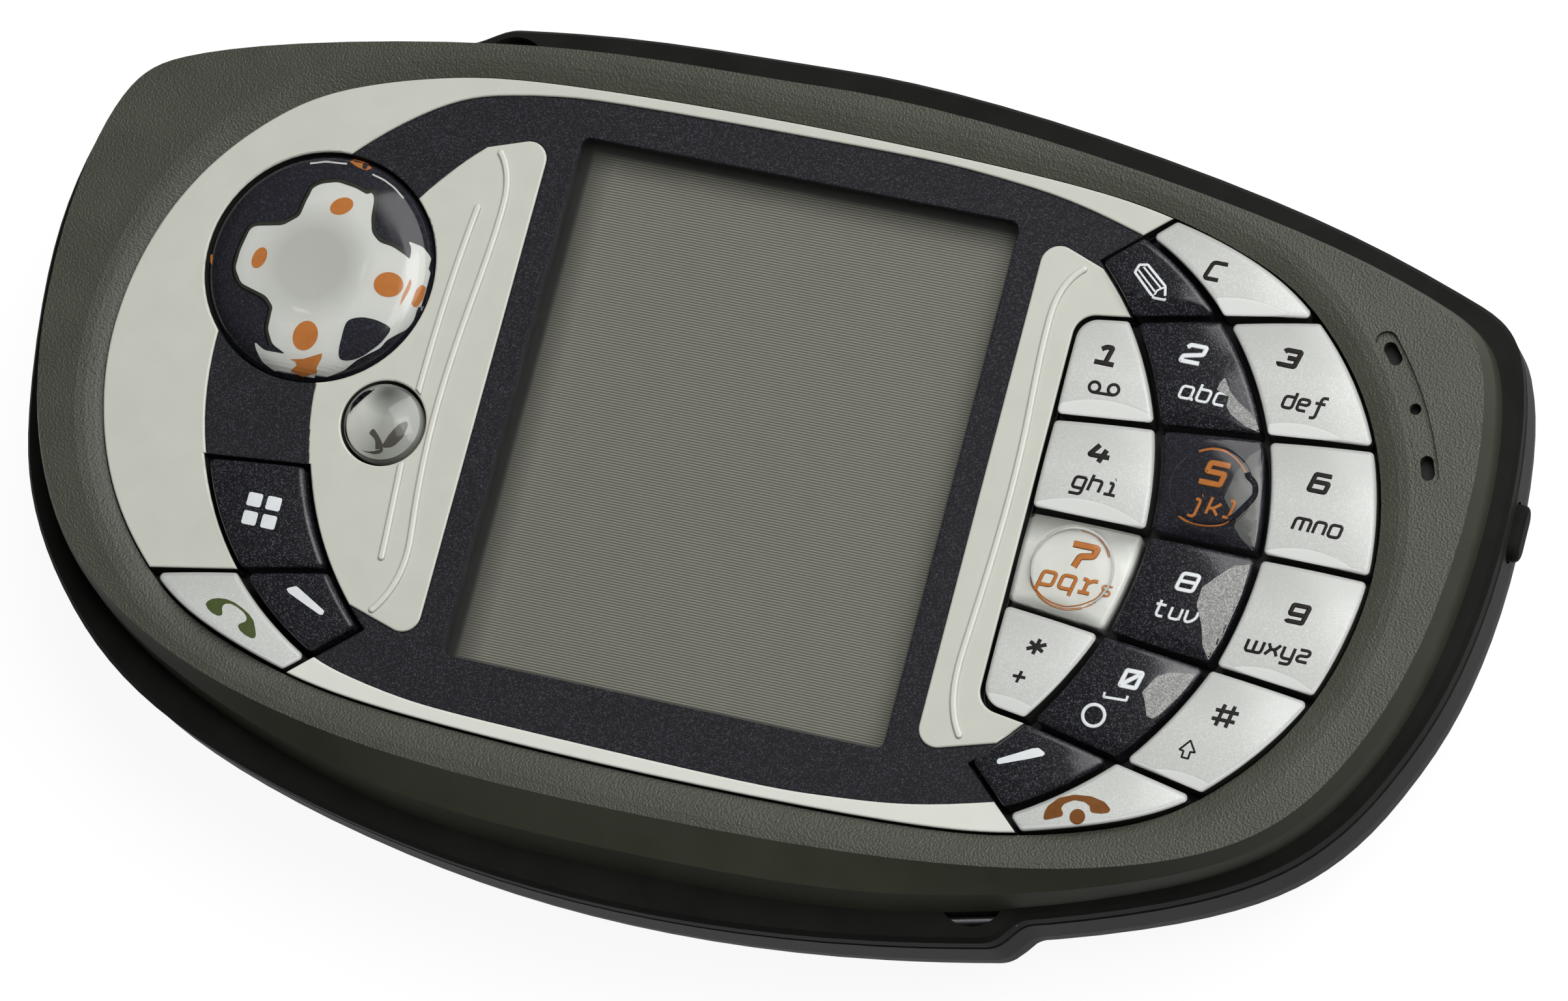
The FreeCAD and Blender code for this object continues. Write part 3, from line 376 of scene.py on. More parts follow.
# %% Clear plastics
def clear_plastic(name, rough, tint):
    material = finish(name, (255, 255, 255), rough, IOR=1.42, Transmission_Weight=1.0)
    body = shader_of(material)
    body.inputs["Base Color"].default_value = tint
    out = material.node_tree.nodes["Material Output"]
    shade_ray = add(material, "ShaderNodeLightPath")
    open_way = add(material, "ShaderNodeBsdfTransparent", {"Color": tint})
    pick = add(material, "ShaderNodeMixShader")
    link(material, shade_ray.outputs["Is Shadow Ray"], pick.inputs[0])
    link(material, body.outputs[0], pick.inputs[1])
    link(material, open_way.outputs[0], pick.inputs[2])
    link(material, pick.outputs[0], out.inputs["Surface"])
    return material


acrylic = clear_plastic("clear_acrylic", 0.12, (0.97, 0.98, 0.97, 1))
glass = clear_plastic("window_glass", 0.0, (0.95, 0.96, 0.95, 1))
print("clear plastics ready")

# %% [markdown]
# ## The display
# A passive display that is switched off shows its rows as fine grey lines, five to the
# millimetre. A sine of the height draws them. Along its left and its upper border the colour is
# darkened into a painted shadow of the window's rim.

# %% Display lines
LINE_PITCH = 0.213 * MM
lcd = finish("display_rows", (110, 108, 100), 0.45, 0.2)
lcd_place = parts_of(lcd)
turns = add(lcd, "ShaderNodeMath", {1: 2 * pi / LINE_PITCH}, operation="MULTIPLY")
wave = add(lcd, "ShaderNodeMath", operation="SINE")
link(lcd, lcd_place["Y"], turns.inputs[0])
link(lcd, turns.outputs[0], wave.inputs[0])
blend_colour(lcd, ramp(lcd, wave.outputs[0], -1.0, 1.0), (60, 59, 53), (116, 114, 105))


def near_border(axis, middle_mm, half_mm, soft_mm):
    """1 at the border of the lit area and outside it, 0 well inside."""
    off = add(lcd, "ShaderNodeMath", {1: middle_mm * MM}, operation="SUBTRACT")
    link(lcd, lcd_place[axis], off.inputs[0])
    size = add(lcd, "ShaderNodeMath", operation="ABSOLUTE")
    link(lcd, off.outputs[0], size.inputs[0])
    return ramp(lcd, size.outputs[0], (half_mm - soft_mm) * MM, half_mm * MM)


WINDOW_X, WINDOW_Y = middle.x / MM, middle.y / MM
BORDER_GREY, SHADOW_GREY = (58, 58, 54), (40, 40, 37)
towards(lcd, near_border("X", WINDOW_X, 17.5, 0.2), BORDER_GREY)
towards(lcd, near_border("Y", WINDOW_Y, 20.9, 0.2), BORDER_GREY)
# Painted shadow of the window's rim: darker bands along the left and upper borders of the display.
for axis, start, end, at_start, at_end, grey in (
        ("X", WINDOW_X - 17.2, WINDOW_X - 15.4, 0.62, 0.0, SHADOW_GREY),
        ("X", WINDOW_X - 17.75, WINDOW_X - 17.45, 0.9, 0.0, (22, 22, 21)),
        ("Y", WINDOW_Y + 20.9, WINDOW_Y + 21.1, 0.0, 0.6, (30, 30, 29)),
        ("Y", WINDOW_Y + 19.0, WINDOW_Y + 20.6, 0.0, 0.45, SHADOW_GREY)):
    towards(lcd, ramp(lcd, lcd_place[axis], start * MM, end * MM, at_start, at_end), grey)
print("rows per mm", round(MM / LINE_PITCH, 2))

# %% [markdown]
# ## Paint under clear plastic
# Below a clear skin, paint needs no gloss of its own. The D-pad's pearl gets a painted shade:
# it is greyer in the dish in its middle, so its colour goes by the distance from there.

# %% Covered paints
def distance_from(material, place):
    """Distance of each point from a place, in metres."""
    apart = add(material, "ShaderNodeVectorMath", operation="DISTANCE")
    apart.inputs[1].default_value = place
    link(material, place_of(material), apart.inputs[0])
    return apart.outputs["Value"]


navy_under = finish("navy_under_clear", (29, 29, 35), 0.7, 0.05)
flakes(navy_under, (29, 29, 35), (60, 60, 68), 13.0, 0.72)
pearl_under = ink("pearl_under_clear", (190, 191, 186), (198, 199, 194), 0.7, per_mm=0.5)
# Painted shade on key 7's core: darker along the upper edge, where the cap lets little light onto it,
# least of all beside the round lens.
lens_7 = Vector((middle.x + 28.75 * MM, middle.y - 4.5 * MM, face_z + 1.2 * MM))
height_7 = parts_of(pearl_under)["Y"]
shade_7 = add(pearl_under, "ShaderNodeMath", operation="MULTIPLY")
link(pearl_under, ramp(pearl_under, height_7, middle.y - 3.3 * MM, middle.y - 1.0 * MM), shade_7.inputs[0])
link(pearl_under, ramp(pearl_under, distance_from(pearl_under, lens_7), 3.0 * MM, 3.4 * MM, 0.35, 1.0),
     shade_7.inputs[1])
towards(pearl_under, shade_7.outputs[0], (96, 96, 91))
dish = Vector((middle.x - 36.45 * MM, middle.y + 6.65 * MM, face_z + 1.0 * MM))
# Painted shade: the pearl print is greyer towards the middle of the dish.
pearl_print = finish("pearl_print", (184, 185, 181), 0.7, 0.1)
blend_colour(pearl_print, ramp(pearl_print, distance_from(pearl_print, dish), 2.7 * MM, 5.3 * MM),
             (162, 163, 157), (187, 188, 184))
print("covered paints ready")

# %% [markdown]
# ## The inner parts
# What lies inside is seen through gaps and openings at most, yet each piece has its real
# material: green board, steel cans, black moulded sockets, dark silicone mats, gold contacts.

# %% Inner finishes
def plain(name, first, second, rough, per_mm=2.0, **sockets):
    """A finish with a light mottle and a fine grain."""
    material = finish(name, first, rough, **sockets)
    mottle(material, first, second)
    grain(material, per_mm, 0.01)
    return material


board = plain("solder_mask", (38, 92, 60), (46, 104, 68), 0.35)
steel = plain("pressed_steel", (176, 178, 180), (190, 192, 194), 0.3, 6.0, Metallic=1.0)
gold = plain("gold_plating", (206, 168, 88), (216, 180, 100), 0.3, 6.0, Metallic=1.0)
silicone = plain("silicone_mat", (26, 26, 26), (30, 30, 30), 0.7)
moulded = plain("black_moulding", (20, 20, 21), (26, 26, 27), 0.5)
gasket = plain("gasket_foam", (20, 20, 20), (24, 24, 24), 0.8, 5.0)
cell_skin = plain("battery_wrap", (58, 60, 70), (64, 66, 76), 0.45)

speaker_cloth = finish("earpiece_cloth", (12, 12, 12), 0.7)
holes = add(speaker_cloth, "ShaderNodeTexVoronoi", {"Scale": 7000.0})
link(speaker_cloth, place_of(speaker_cloth), holes.inputs["Vector"])
between_holes = ramp(speaker_cloth, holes.outputs["Distance"], 0.35, 0.6)
blend_colour(speaker_cloth, between_holes, (5, 5, 5), (26, 26, 25))
print("inner finishes ready")

# %% [markdown]
# ## Giving the CAD parts their finishes
# Each CAD node has one material slot, and we put our own material into it. The mesh itself
# stays as it came.

# %% Assign finishes
LIGHT_KEYS = ["key_1", "key_3", "key_4", "key_6", "key_9", "key_star", "key_hash",
              "clear_key", "end_key", "send_key", "select_key"]
DARK_KEYS = ["key_2", "key_8", "key_0", "edit_key", "soft_key_right", "soft_key_left", "menu_key"]
wear = {
    "front_cover": olive, "bumper": rubber, "rear_housing": housing, "battery_cover": housing,
    "card_flap": housing, "power_key": rubber, "face_plate": pale, "lower_trim": trim_paint_with_painted_light,
    "wing_left": wing_paint_rib_highlight, "wing_right": wing_paint_rib_highlight, "display_bezel": navy, "display_window": glass,
    "lcd_module": lcd, "display_gasket": gasket, "earpiece_mesh": speaker_cloth,
    "select_lens": acrylic, "circuit_board": board, "battery": cell_skin, "sim_holder": gold,
    "keymat_left": silicone, "keymat_right": silicone,
}
STEEL_PARTS = ["shield_cans", "lcd_frame", "housing_screws", "strap_pins", "vibration_motor", "dome_switches"]
for names, material in ((LIGHT_KEYS, pearl), (DARK_KEYS, navy_gloss), (STEEL_PARTS, steel)):
    wear.update(dict.fromkeys(names, material))
for name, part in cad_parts.items():
    for slot in part.material_slots:
        slot.material = wear.get(name, moulded)
print("dressed", len(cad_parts), "nodes")

# %% [markdown]
# ## Finding a place on the face
# Places on the face are given in millimetres from the middle of the display. Something that
# stands higher or lower than the face plane looks shifted in the photograph, so `seen` slides a
# point along the camera's line of sight to its real height. `on_key` follows that line down to
# the key's own surface.

# %% Places
def spot(x, y, up=0.0):
    """Point above the face plane, in mm from the middle of the display."""
    return Vector((middle.x + x * MM, middle.y + y * MM, face_z + up * MM))


def seen(x, y, up):
    """Point at a height above the face that covers the face point (x, y) in the camera's view."""
    base = spot(x, y)
    return base + (camera_place - base) * (up * MM / (camera_place.z - face_z))


def tree_of(mesh):
    """Search tree of a mesh's faces."""
    corners = [v.co.copy() for v in mesh.vertices]
    return BVHTree.FromPolygons(corners, [tuple(p.vertices) for p in mesh.polygons])


ground = {}


def surface(node):
    """Search tree of what is printed on: the node itself, or a new piece noted in `ground`."""
    if node not in ground:
        ground[node] = tree_of(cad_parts[node].data)
    return ground[node]


KEY_RISE = 0.9  # mm from the face to the top of a usual key


def on_key(tree, x, y):
    """Point on a key's surface that the camera sees at the face point (x, y)."""
    aim = (spot(x, y) - camera_place).normalized()
    hit = tree.ray_cast(camera_place, aim)[0]
    return hit if hit else seen(x, y, KEY_RISE)


print("key 9 top", [round(c / MM, 2) for c in on_key(surface("key_9"), 46.7, -4.4)])

# %% [markdown]
# ## Clear-topped keys
# Keys 5 and 7 have a clear skin over a painted core, and the skin bulges into a round lens over
# the number. A real one is moulded in two shots. Here the core is a copy of the key's own
# mesh, scaled down a little towards its foot, and the skin is a second copy in acrylic with a
# spherical lens joined onto it by a Boolean.

# %% Keys 5 and 7
LENS_R, LENS_RISE, LENS_DEPTH, LENS_SUNK = 3.2, 0.22, 0.4, 0.1


def key_copy(node):
    """Copy of a key's mesh as a closed bmesh."""
    bm = bmesh.new()
    bm.from_mesh(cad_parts[node].data)
    bmesh.ops.remove_doubles(bm, verts=bm.verts, dist=1e-7)
    return bm


def core_of(node, sideways=0.965, upwards=0.9):
    """Smaller copy of a key, shrunk towards the middle of its foot."""
    bm = key_copy(node)
    low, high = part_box(node)
    foot = Vector(((low.x + high.x) / 2, (low.y + high.y) / 2, low.z))
    bmesh.ops.scale(bm, verts=bm.verts, vec=(sideways, sideways, upwards),
                    space=Matrix.Translation(-foot))
    return bm


def spun(name, profile, centre, steps):
    """Closed solid of revolution from (radius, height) pairs in mm, from the axis back to the axis."""
    bm = bmesh.new()
    made = [bm.verts.new(centre + Vector((r * MM, 0, up * MM))) for r, up in profile]
    edges = [bm.edges.new(pair) for pair in zip(made, made[1:])]
    bmesh.ops.spin(bm, geom=made + edges, cent=centre, axis=(0, 0, 1), angle=2 * pi, steps=steps,
                   use_merge=True, use_duplicate=False)
    bmesh.ops.remove_doubles(bm, verts=bm.verts, dist=1e-7)
    bmesh.ops.recalc_face_normals(bm, faces=bm.faces)
    return mesh_object(name, bm)


def round_lens(radius, rise, depth, rings=8):
    """Profile of a disc with a spherical top."""
    sphere_r = (radius * radius + rise * rise) / (2 * rise)
    outs = [radius * sin((1 - i / rings) * pi / 2) for i in range(1, rings + 1)]
    return [(0, -depth), (radius, -depth), (radius, 0)] + [
        (r, (sphere_r ** 2 - r * r) ** 0.5 - sphere_r + rise) for r in outs]


def smooth(piece, degrees_=35):
    """Smooth shading with sharp edges kept where faces meet at more than an angle."""
    for polygon in piece.data.polygons:
        polygon.use_smooth = True
    piece.data.set_sharp_from_angle(angle=radians(degrees_))


def apply_modifiers(piece):
    """Bakes an object's modifiers into its mesh."""
    graph = bpy.context.evaluated_depsgraph_get()
    baked = bpy.data.meshes.new_from_object(piece.evaluated_get(graph))
    piece.modifiers.clear()
    old = piece.data
    piece.data = baked
    baked.name = piece.name
    bpy.data.meshes.remove(old)


for node, paint, (x, y) in (("key_5", navy_under, (37.8, 3.75)), ("key_7", pearl_under, (28.75, -4.5))):
    base = mesh_object(node + "_base", core_of(node))
    base.data.materials.append(paint)
    cap = mesh_object(node + "_cap", key_copy(node))
    crown = on_key(surface(node), x, y) - Vector((0, 0, LENS_SUNK * MM))
    lens = spun("lens_blank", round_lens(LENS_R, LENS_RISE, LENS_DEPTH), crown, 96)
    union = cap.modifiers.new("lens", "BOOLEAN")
    union.operation, union.solver, union.object = "UNION", "EXACT", lens
    apply_modifiers(cap)
    bpy.data.objects.remove(lens)
    cap.data.materials.clear()
    cap.data.materials.append(acrylic)
    smooth(base)
    smooth(cap, 20)
    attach(base, node)
    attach(cap, node)
    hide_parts(node)
    ground[node] = tree_of(base.data)
    ground[node + "_cap"] = tree_of(cap.data)
    print(node, "cap triangles", len(cap.data.polygons), "lens at", round(crown.z / MM, 2))

# %% [markdown]
# ## The D-pad and the select key
# The D-pad is a clear lens with a steep rim and a shallow dish in the middle, moulded over a
# painted core. The lens and the core are each spun from a profile, and the core's line runs a
# little inside the lens. The select key is made in the same way, with a small painted dome in its
# clear one.

# %% D-pad and select key
DPAD_R = 9.15
LENS_FOOT = -1.42
dpad_middle = spot(-36.1, 6.8)
select_middle = spot(-27.55, -4.45)


def arc_points(controls, count):
    """Points of a smooth line through a few (radius, height) pairs."""
    curve = bpy.data.curves.new("line", "CURVE")
    curve.dimensions = "3D"
    curve.resolution_u = count
    spline = curve.splines.new("BEZIER")
    spline.bezier_points.add(len(controls) - 1)
    for point, (r, up) in zip(spline.bezier_points, controls):
        point.co = (r, 0, up)
        point.handle_left_type = point.handle_right_type = "AUTO"
    holder = bpy.data.objects.new("line", curve)
    mesh = bpy.data.meshes.new_from_object(holder)
    points = [(v.co.x, v.co.z) for v in mesh.vertices]
    bpy.data.objects.remove(holder)
    return points


rim_and_dish = [(DPAD_R, -0.05), (8.75, 0.45), (8.0, 0.83), (6.6, 1.15), (4.4, 1.36), (2.2, 1.26),
                (0.0, 1.18)]
clear_foot = [(0.0, LENS_FOOT), (DPAD_R - 0.15, LENS_FOOT), (DPAD_R, LENS_FOOT + 0.15)]
dpad_clear = spun("dpad_clear", clear_foot + arc_points(rim_and_dish, 8), dpad_middle, 160)
smooth(dpad_clear, 40)
dpad_clear.data.materials.append(acrylic)
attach(dpad_clear, "dpad")
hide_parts("dpad_lens")

core_line = [(8.8, -0.4), (8.45, 0.1), (7.75, 0.5), (6.45, 0.82), (4.3, 1.04), (2.2, 0.95), (0.0, 0.87)]
core_foot = [(0.0, -2.6), (2.0, -2.6), (2.0, -2.2), (8.9, -2.2), (9.1, -2.0), (9.1, -1.5), (8.8, -1.5)]
dpad_disc = spun("dpad_disc", core_foot + arc_points(core_line, 8), dpad_middle, 160)
smooth(dpad_disc, 40)
dpad_disc.data.materials.append(navy_under)
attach(dpad_disc, "dpad")
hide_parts("dpad_core")
ground["dpad"] = tree_of(dpad_disc.data)

# Painted light on the select dome: a painted highlight makes it lighter to the left, and a painted reflection
# darkens a spot near its top.
select_silver_painted_light = finish("select_silver_painted_light", (190, 191, 187), 0.6, 0.1)
to_left = parts_of(select_silver_painted_light)["X"]
blend_colour(select_silver_painted_light, ramp(select_silver_painted_light, to_left, spot(-27.4, 0).x, spot(-30.0, 0).x),
             (143, 144, 139), (206, 207, 200))
from_dark_reflection = distance_from(select_silver_painted_light, spot(-27.7, -1.9, 0.6))
towards(select_silver_painted_light, ramp(select_silver_painted_light, from_dark_reflection, 0.4 * MM, 2.2 * MM, 1.0, 0.0), (86, 87, 84))
dome_line = [(2.9, 0.06), (2.5, 0.27), (1.9, 0.52), (1.0, 0.76), (0.0, 0.85)]
select_dome = spun("select_dome", [(0.0, -0.95), (2.9, -0.95)] + arc_points(dome_line, 6), select_middle, 96)
smooth(select_dome, 40)
select_dome.data.materials.append(select_silver_painted_light)
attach(select_dome, "select")
ground["select"] = tree_of(select_dome.data)
print("lens triangles", len(dpad_clear.data.polygons) * 2)

# %% [markdown]
# ## Lettering
# The keys are printed in a squarish, slanted pen script. Each letter is a few pen strokes in a
# box a hundred units high. The strokes are parted by semicolons, and an "o" closes one. A stroke
# becomes a curve with a round bevel, which is made a mesh, flattened to the thickness of ink and
# laid on the key, point by point.

# %% Pen strokes
PEN = {
    "0": "10,0 10,100 92,100 92,0 o; 22,14 80,86",
    "1": "12,82 30,100 58,100 58,0; 8,0 100,0",
    "2": "10,84 20,100 92,100 92,55 10,30 8,0 95,0",
    "3": "12,86 20,100 92,100 92,0 12,0 8,16; 40,50 88,50",
    "4": "32,100 6,36 100,36; 72,78 62,0",
    "5": "98,100 16,100 14,56 92,56 92,0 5,0",
    "6": "90,100 12,100 12,0 92,0 92,55 14,55",
    "7": "4,100 98,100 96,62 50,50 46,0",
    "8": "12,0 12,100 92,100 92,0 o; 16,52 88,52",
    "9": "10,10 16,0 92,0 92,100 12,100 12,45 90,45",
    "C": "100,100 15,100 0,0 85,0",
    "a": "10,0 10,70 78,70 78,0 o; 78,30 80,0 98,0",
    "b": "10,100 10,0 78,0 78,70 10,70",
    "c": "78,70 10,70 10,0 74,0",
    "d": "78,100 78,0 10,0 10,70 78,70",
    "e": "12,36 78,36 78,70 10,70 10,0 74,0",
    "f": "90,100 48,100 48,-30 12,-30; 14,62 84,62",
    "g": "78,70 10,70 10,4 78,4; 78,70 78,-32 6,-32",
    "h": "10,100 10,0; 10,70 78,70 78,0",
    "i": "20,70 48,70 48,0; 12,0 84,0; 46,96 50,98",
    "j": "22,70 52,70 52,-32 12,-32; 50,96 54,98",
    "k": "10,100 10,0; 10,35 40,35 78,70; 40,35 78,0",
    "l": "20,100 48,100 48,0; 12,0 84,0",
    "m": "10,0 10,70 114,70 114,0; 62,70 62,0",
    "n": "10,0 10,70 78,70 78,0",
    "o": "8,0 8,70 82,70 82,0 o",
    "p": "10,-32 10,70 78,70 78,0 10,0",
    "q": "78,-32 78,70 10,70 10,0 78,0",
    "r": "10,70 38,70 38,0; 10,0 70,0; 38,50 60,70 86,70",
    "s": "80,70 10,70 12,38 78,32 78,0 8,0",
    "t": "26,98 26,0 74,0; 4,70 70,70",
    "u": "10,70 10,0 78,0 78,70; 78,70 78,0",
    "v": "10,70 14,0 50,0 82,30 80,70",
    "w": "10,70 10,0 114,0 114,70; 62,70 62,0",
    "x": "6,70 30,36 58,36 84,70; 4,0 30,36; 58,36 82,0",
    "y": "10,70 10,0 78,0; 78,70 78,-32 12,-32",
    "z": "10,70 78,70 78,36 12,34 10,0 82,0",
    "*": "50,0 50,100; 7,25 93,75; 7,75 93,25",
    "+": "0,50 100,50; 50,0 50,100",
    "#": "30,0 30,100; 72,0 72,100; 2,30 100,30; 2,70 100,70",
}
SLANT, LETTER_GAP, WIDE_LETTER = 0.2, 0.02, 1.36
# Corner radius of bold and of thin letters in parts of their height, and the pen in mm where bold begins.
SHARP, ROUND, BOLD_FROM = 0.1, 0.2, 0.35


def soft_corners(points, closed, radius, spacing=0.25):
    """Rounds the corners of a stroke, in mm, and fills it up so that no step is long."""
    last = len(points) - 1
    rounded = []
    for i, p in enumerate(points):
        if not closed and i in (0, last):
            rounded.append(p)
            continue
        before, after = points[i - 1], points[(i + 1) % len(points)]
        start = p + (before - p).normalized() * min(radius, (before - p).length / 2)
        end = p + (after - p).normalized() * min(radius, (after - p).length / 2)
        rounded += [start.lerp(p, t).lerp(p.lerp(end, t), t) for t in (0, 0.2, 0.4, 0.6, 0.8, 1)]
    dense = [rounded[0]]
    for p in rounded[1:] + ([rounded[0]] if closed else []):
        gap = (p - dense[-1]).length
        if gap < 1e-4:
            continue
        steps = max(1, int(gap / spacing))
        dense += [dense[-1].lerp(p, (k + 1) / steps) for k in range(steps)]
    return dense[:-1] if closed else dense


def letter_strokes(letter):
    """Strokes of a letter, each as its points and whether it is closed."""
    for stroke in PEN[letter].split("; "):
        pairs = stroke.split()
        closed = pairs[-1] == "o"
        yield [[int(n) / 100 for n in pair.split(",")] for pair in (pairs[:-1] if closed else pairs)], closed


def pen_word(word, left, right, base, height):
    """Strokes of a word in face mm that reach from left to right, standing on the base line."""
    strokes, cursor = [], 0.0
    for letter in word:
        wide = WIDE_LETTER if letter in "mw" else 1.0
        for points, closed in letter_strokes(letter):
            strokes.append(([Vector((cursor + x + SLANT * y, y)) for x, y in points], closed))
        cursor += wide + LETTER_GAP
    low = min(p.x for points, _ in strokes for p in points)
    high = max(p.x for points, _ in strokes for p in points)
    scale = (right - left) / (high - low)
    return [([Vector((left + (p.x - low) * scale, base + p.y * height)) for p in points], closed)
            for points, closed in strokes]


INK_T = 0.012 * MM


def lay(name, bm, node, body, material, layer):
    """Lays a flat drawing, in face mm with ink thickness in z, on a key. A layer is one ink higher."""
    tree = surface(node)
    for v in bm.verts:
        x, y, thick = v.co
        v.co = on_key(tree, x, y) + Vector((0, 0, thick + layer * INK_T))
    bmesh.ops.recalc_face_normals(bm, faces=bm.faces)
    piece = mesh_object(name, bm)
    piece.data.materials.append(material)
    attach(piece, body)


def inked(name, node, body, material, words=(), lines=(), layer=0):
    """One printed piece. A word is (text, left, right, base, height, pen width), all in face mm, and a
    line is (points, pen width, corner radius), with a True behind them if it is closed."""
    whole = bmesh.new()
    jobs = [(pen_word(text, left, right, base, height), pen, (SHARP if pen > BOLD_FROM else ROUND) * height)
            for text, left, right, base, height, pen in words]
    jobs += [([([Vector(p) for p in points], bool(closed))], pen, corner)
             for points, pen, corner, *closed in lines]
    for strokes, pen, corner in jobs:
        curve = bpy.data.curves.new("pen", "CURVE")
        curve.dimensions = "3D"
        curve.bevel_depth = pen / 2
        curve.bevel_resolution = 1
        curve.use_fill_caps = True
        for points, closed in strokes:
            path = soft_corners(points, closed, corner)
            spline = curve.splines.new("POLY")
            spline.points.add(len(path) - 1)
            spline.use_cyclic_u = closed
            for point, p in zip(spline.points, path):
                point.co = (p.x, p.y, 0, 1)
        holder = bpy.data.objects.new("pen", curve)
        mesh = bpy.data.meshes.new_from_object(holder)
        for v in mesh.vertices:
            v.co.z *= INK_T / (pen / 2)
        whole.from_mesh(mesh)
        bpy.data.objects.remove(holder)
        bpy.data.meshes.remove(mesh)
    lay(name, whole, node, body, material, layer)


print("pen letters", len(PEN))

# %% [markdown]
# Light keys are printed in a warm black and dark keys in white. Keys 5 and 7 carry theirs in
# orange on the core, under the clear skin.

# %% Print the keys
dark_ink = ink("dark_ink", (28, 26, 22), (33, 31, 27), 0.5, 0.2)
white_ink = ink("white_ink", (222, 226, 228), (230, 234, 236), 0.45, 0.5)
orange = ink("orange_ink", (160, 98, 46), (168, 104, 51), 0.7)
BOLD, THIN = 0.4, 0.25


def key_print(node, pen_ink, words=(), lines=(), layer=0):
    """All that is printed on one key."""
    inked("print_" + node, node, node, pen_ink, words, lines, layer)


def oval(x, y, wide, high, turn=0, steps=24):
    """Outline of an oval, turned by an angle in degrees."""
    a = radians(turn)
    flat = [(wide * cos(k * 2 * pi / steps), high * sin(k * 2 * pi / steps)) for k in range(steps)]
    return [(x + u * cos(a) - v * sin(a), y + u * sin(a) + v * cos(a)) for u, v in flat]


key_print("key_1", dark_ink,
          words=[("1", 26.45, 28.0, 11.7, 1.3, BOLD)],
          lines=[(oval(26.98, 9.72, 0.42, 0.42, steps=16), THIN, 0.1, True),
                 (oval(28.48, 9.8, 0.42, 0.42, steps=16), THIN, 0.1, True),
                 ([(26.95, 9.3), (28.55, 9.37)], THIN, 0.1)])
key_print("key_2", white_ink,
          words=[("2", 32.95, 34.75, 13.1, 1.35, BOLD), ("abc", 33.5, 37.35, 10.25, 1.35, THIN)])
key_print("key_3", dark_ink,
          words=[("3", 40.45, 42.0, 14.35, 1.2, BOLD), ("def", 41.5, 44.95, 11.1, 1.3, THIN)])
key_print("key_4", dark_ink,
          words=[("4", 27.9, 29.5, 4.0, 1.35, BOLD), ("ghi", 27.05, 30.65, 1.68, 1.3, THIN)])
key_print("key_5", orange, layer=2,
          words=[("5", 36.75, 38.85, 4.1, 1.6, 0.5), ("jkl", 36.5, 40.1, 1.75, 1.35, 0.27)],
          lines=[([(36.2, 6.35), (37.15, 6.8), (38.25, 6.8), (39.35, 6.25), (40.25, 5.35)], 0.14, 0.5),
                 ([(35.9, 1.15), (36.95, 0.75), (38.25, 0.8), (39.45, 1.15), (40.65, 2.6)], 0.14, 0.5)])
key_print("key_6", dark_ink,
          words=[("6", 45.1, 46.65, 5.2, 1.3, 0.37), ("mno", 44.6, 48.4, 1.95, 1.35, THIN)])
key_print("key_7", orange, layer=2,
          words=[("7", 28.5, 30.45, -4.4, 1.75, 0.54), ("pqr", 26.5, 31.1, -6.2, 1.48, 0.3),
                 ("s", 31.4, 32.3, -6.1, 1.1, 0.18)],
          lines=[([(28.87, -1.51), (29.84, -1.63), (30.42, -1.87), (30.9, -2.25), (31.25, -2.6)], 0.1, 0.3),
                 ([(30.3, -1.85), (30.74, -2.12), (31.1, -2.5), (31.46, -3.11)], 0.2, 0.3),
                 ([(25.83, -5.24), (26.16, -6.32), (27.03, -7.07), (27.96, -7.45), (29.13, -7.56),
                   (30.22, -7.18), (31.33, -6.42), (31.68, -5.57)], 0.1, 0.4),
                 ([(25.95, -5.8), (26.3, -6.6), (27.1, -7.25), (28.0, -7.65), (29.15, -7.75),
                   (30.3, -7.4), (31.3, -6.7)], 0.1, 0.4),
                 ([(26.87, -8.1), (28.04, -8.25), (29.1, -8.34), (30.05, -8.4)], 0.07, 0.1)])
key_print("key_8", white_ink,
          words=[("8", 37.0, 38.65, -4.4, 1.3, 0.34), ("tuv", 35.9, 39.2, -6.75, 1.3, THIN)])
key_print("key_9", dark_ink,
          words=[("9", 45.9, 47.45, -5.05, 1.3, 0.37), ("wxyz", 43.35, 48.35, -7.95, 1.3, THIN)])
key_print("key_star", dark_ink,
          words=[("*", 26.95, 28.4, -11.65, 1.25, 0.3), ("+", 26.45, 27.45, -14.05, 0.95, THIN)])
key_print("key_0", white_ink,
          words=[("0", 34.65, 36.2, -12.6, 1.25, BOLD)],
          lines=[([(33.7, -13.35), (33.7, -13.74), (35.45, -13.66), (35.5, -13.27)], 0.24, 0.05),
                 (oval(33.3, -15.3, 0.85, 0.85), 0.3, 0.1, True)])
key_print("key_hash", dark_ink,
          words=[("#", 42.2, 44.15, -14.1, 1.75, 0.3)],
          lines=[([(41.05, -15.62), (40.38, -16.45), (40.72, -16.5), (40.68, -17.0), (41.2, -17.02),
                   (41.24, -16.48), (41.6, -16.45)], 0.16, 0.03, True)])
key_print("clear_key", dark_ink,
          words=[("C", 33.15, 34.75, 19.85, 1.35, 0.34)])
key_print("edit_key", white_ink,
          lines=[([(27.78, 19.2), (27.98, 19.85), (28.62, 19.98), (30.38, 18.58), (30.62, 17.5),
                   (29.7, 17.5)], 0.24, 0.08, True),
                 ([(28.0, 19.45), (29.7, 18.0)], 0.17, 0.05), ([(28.35, 19.75), (30.1, 18.35)], 0.17, 0.05),
                 ([(29.65, 17.55), (29.85, 18.15), (30.35, 18.5)], 0.17, 0.05)])

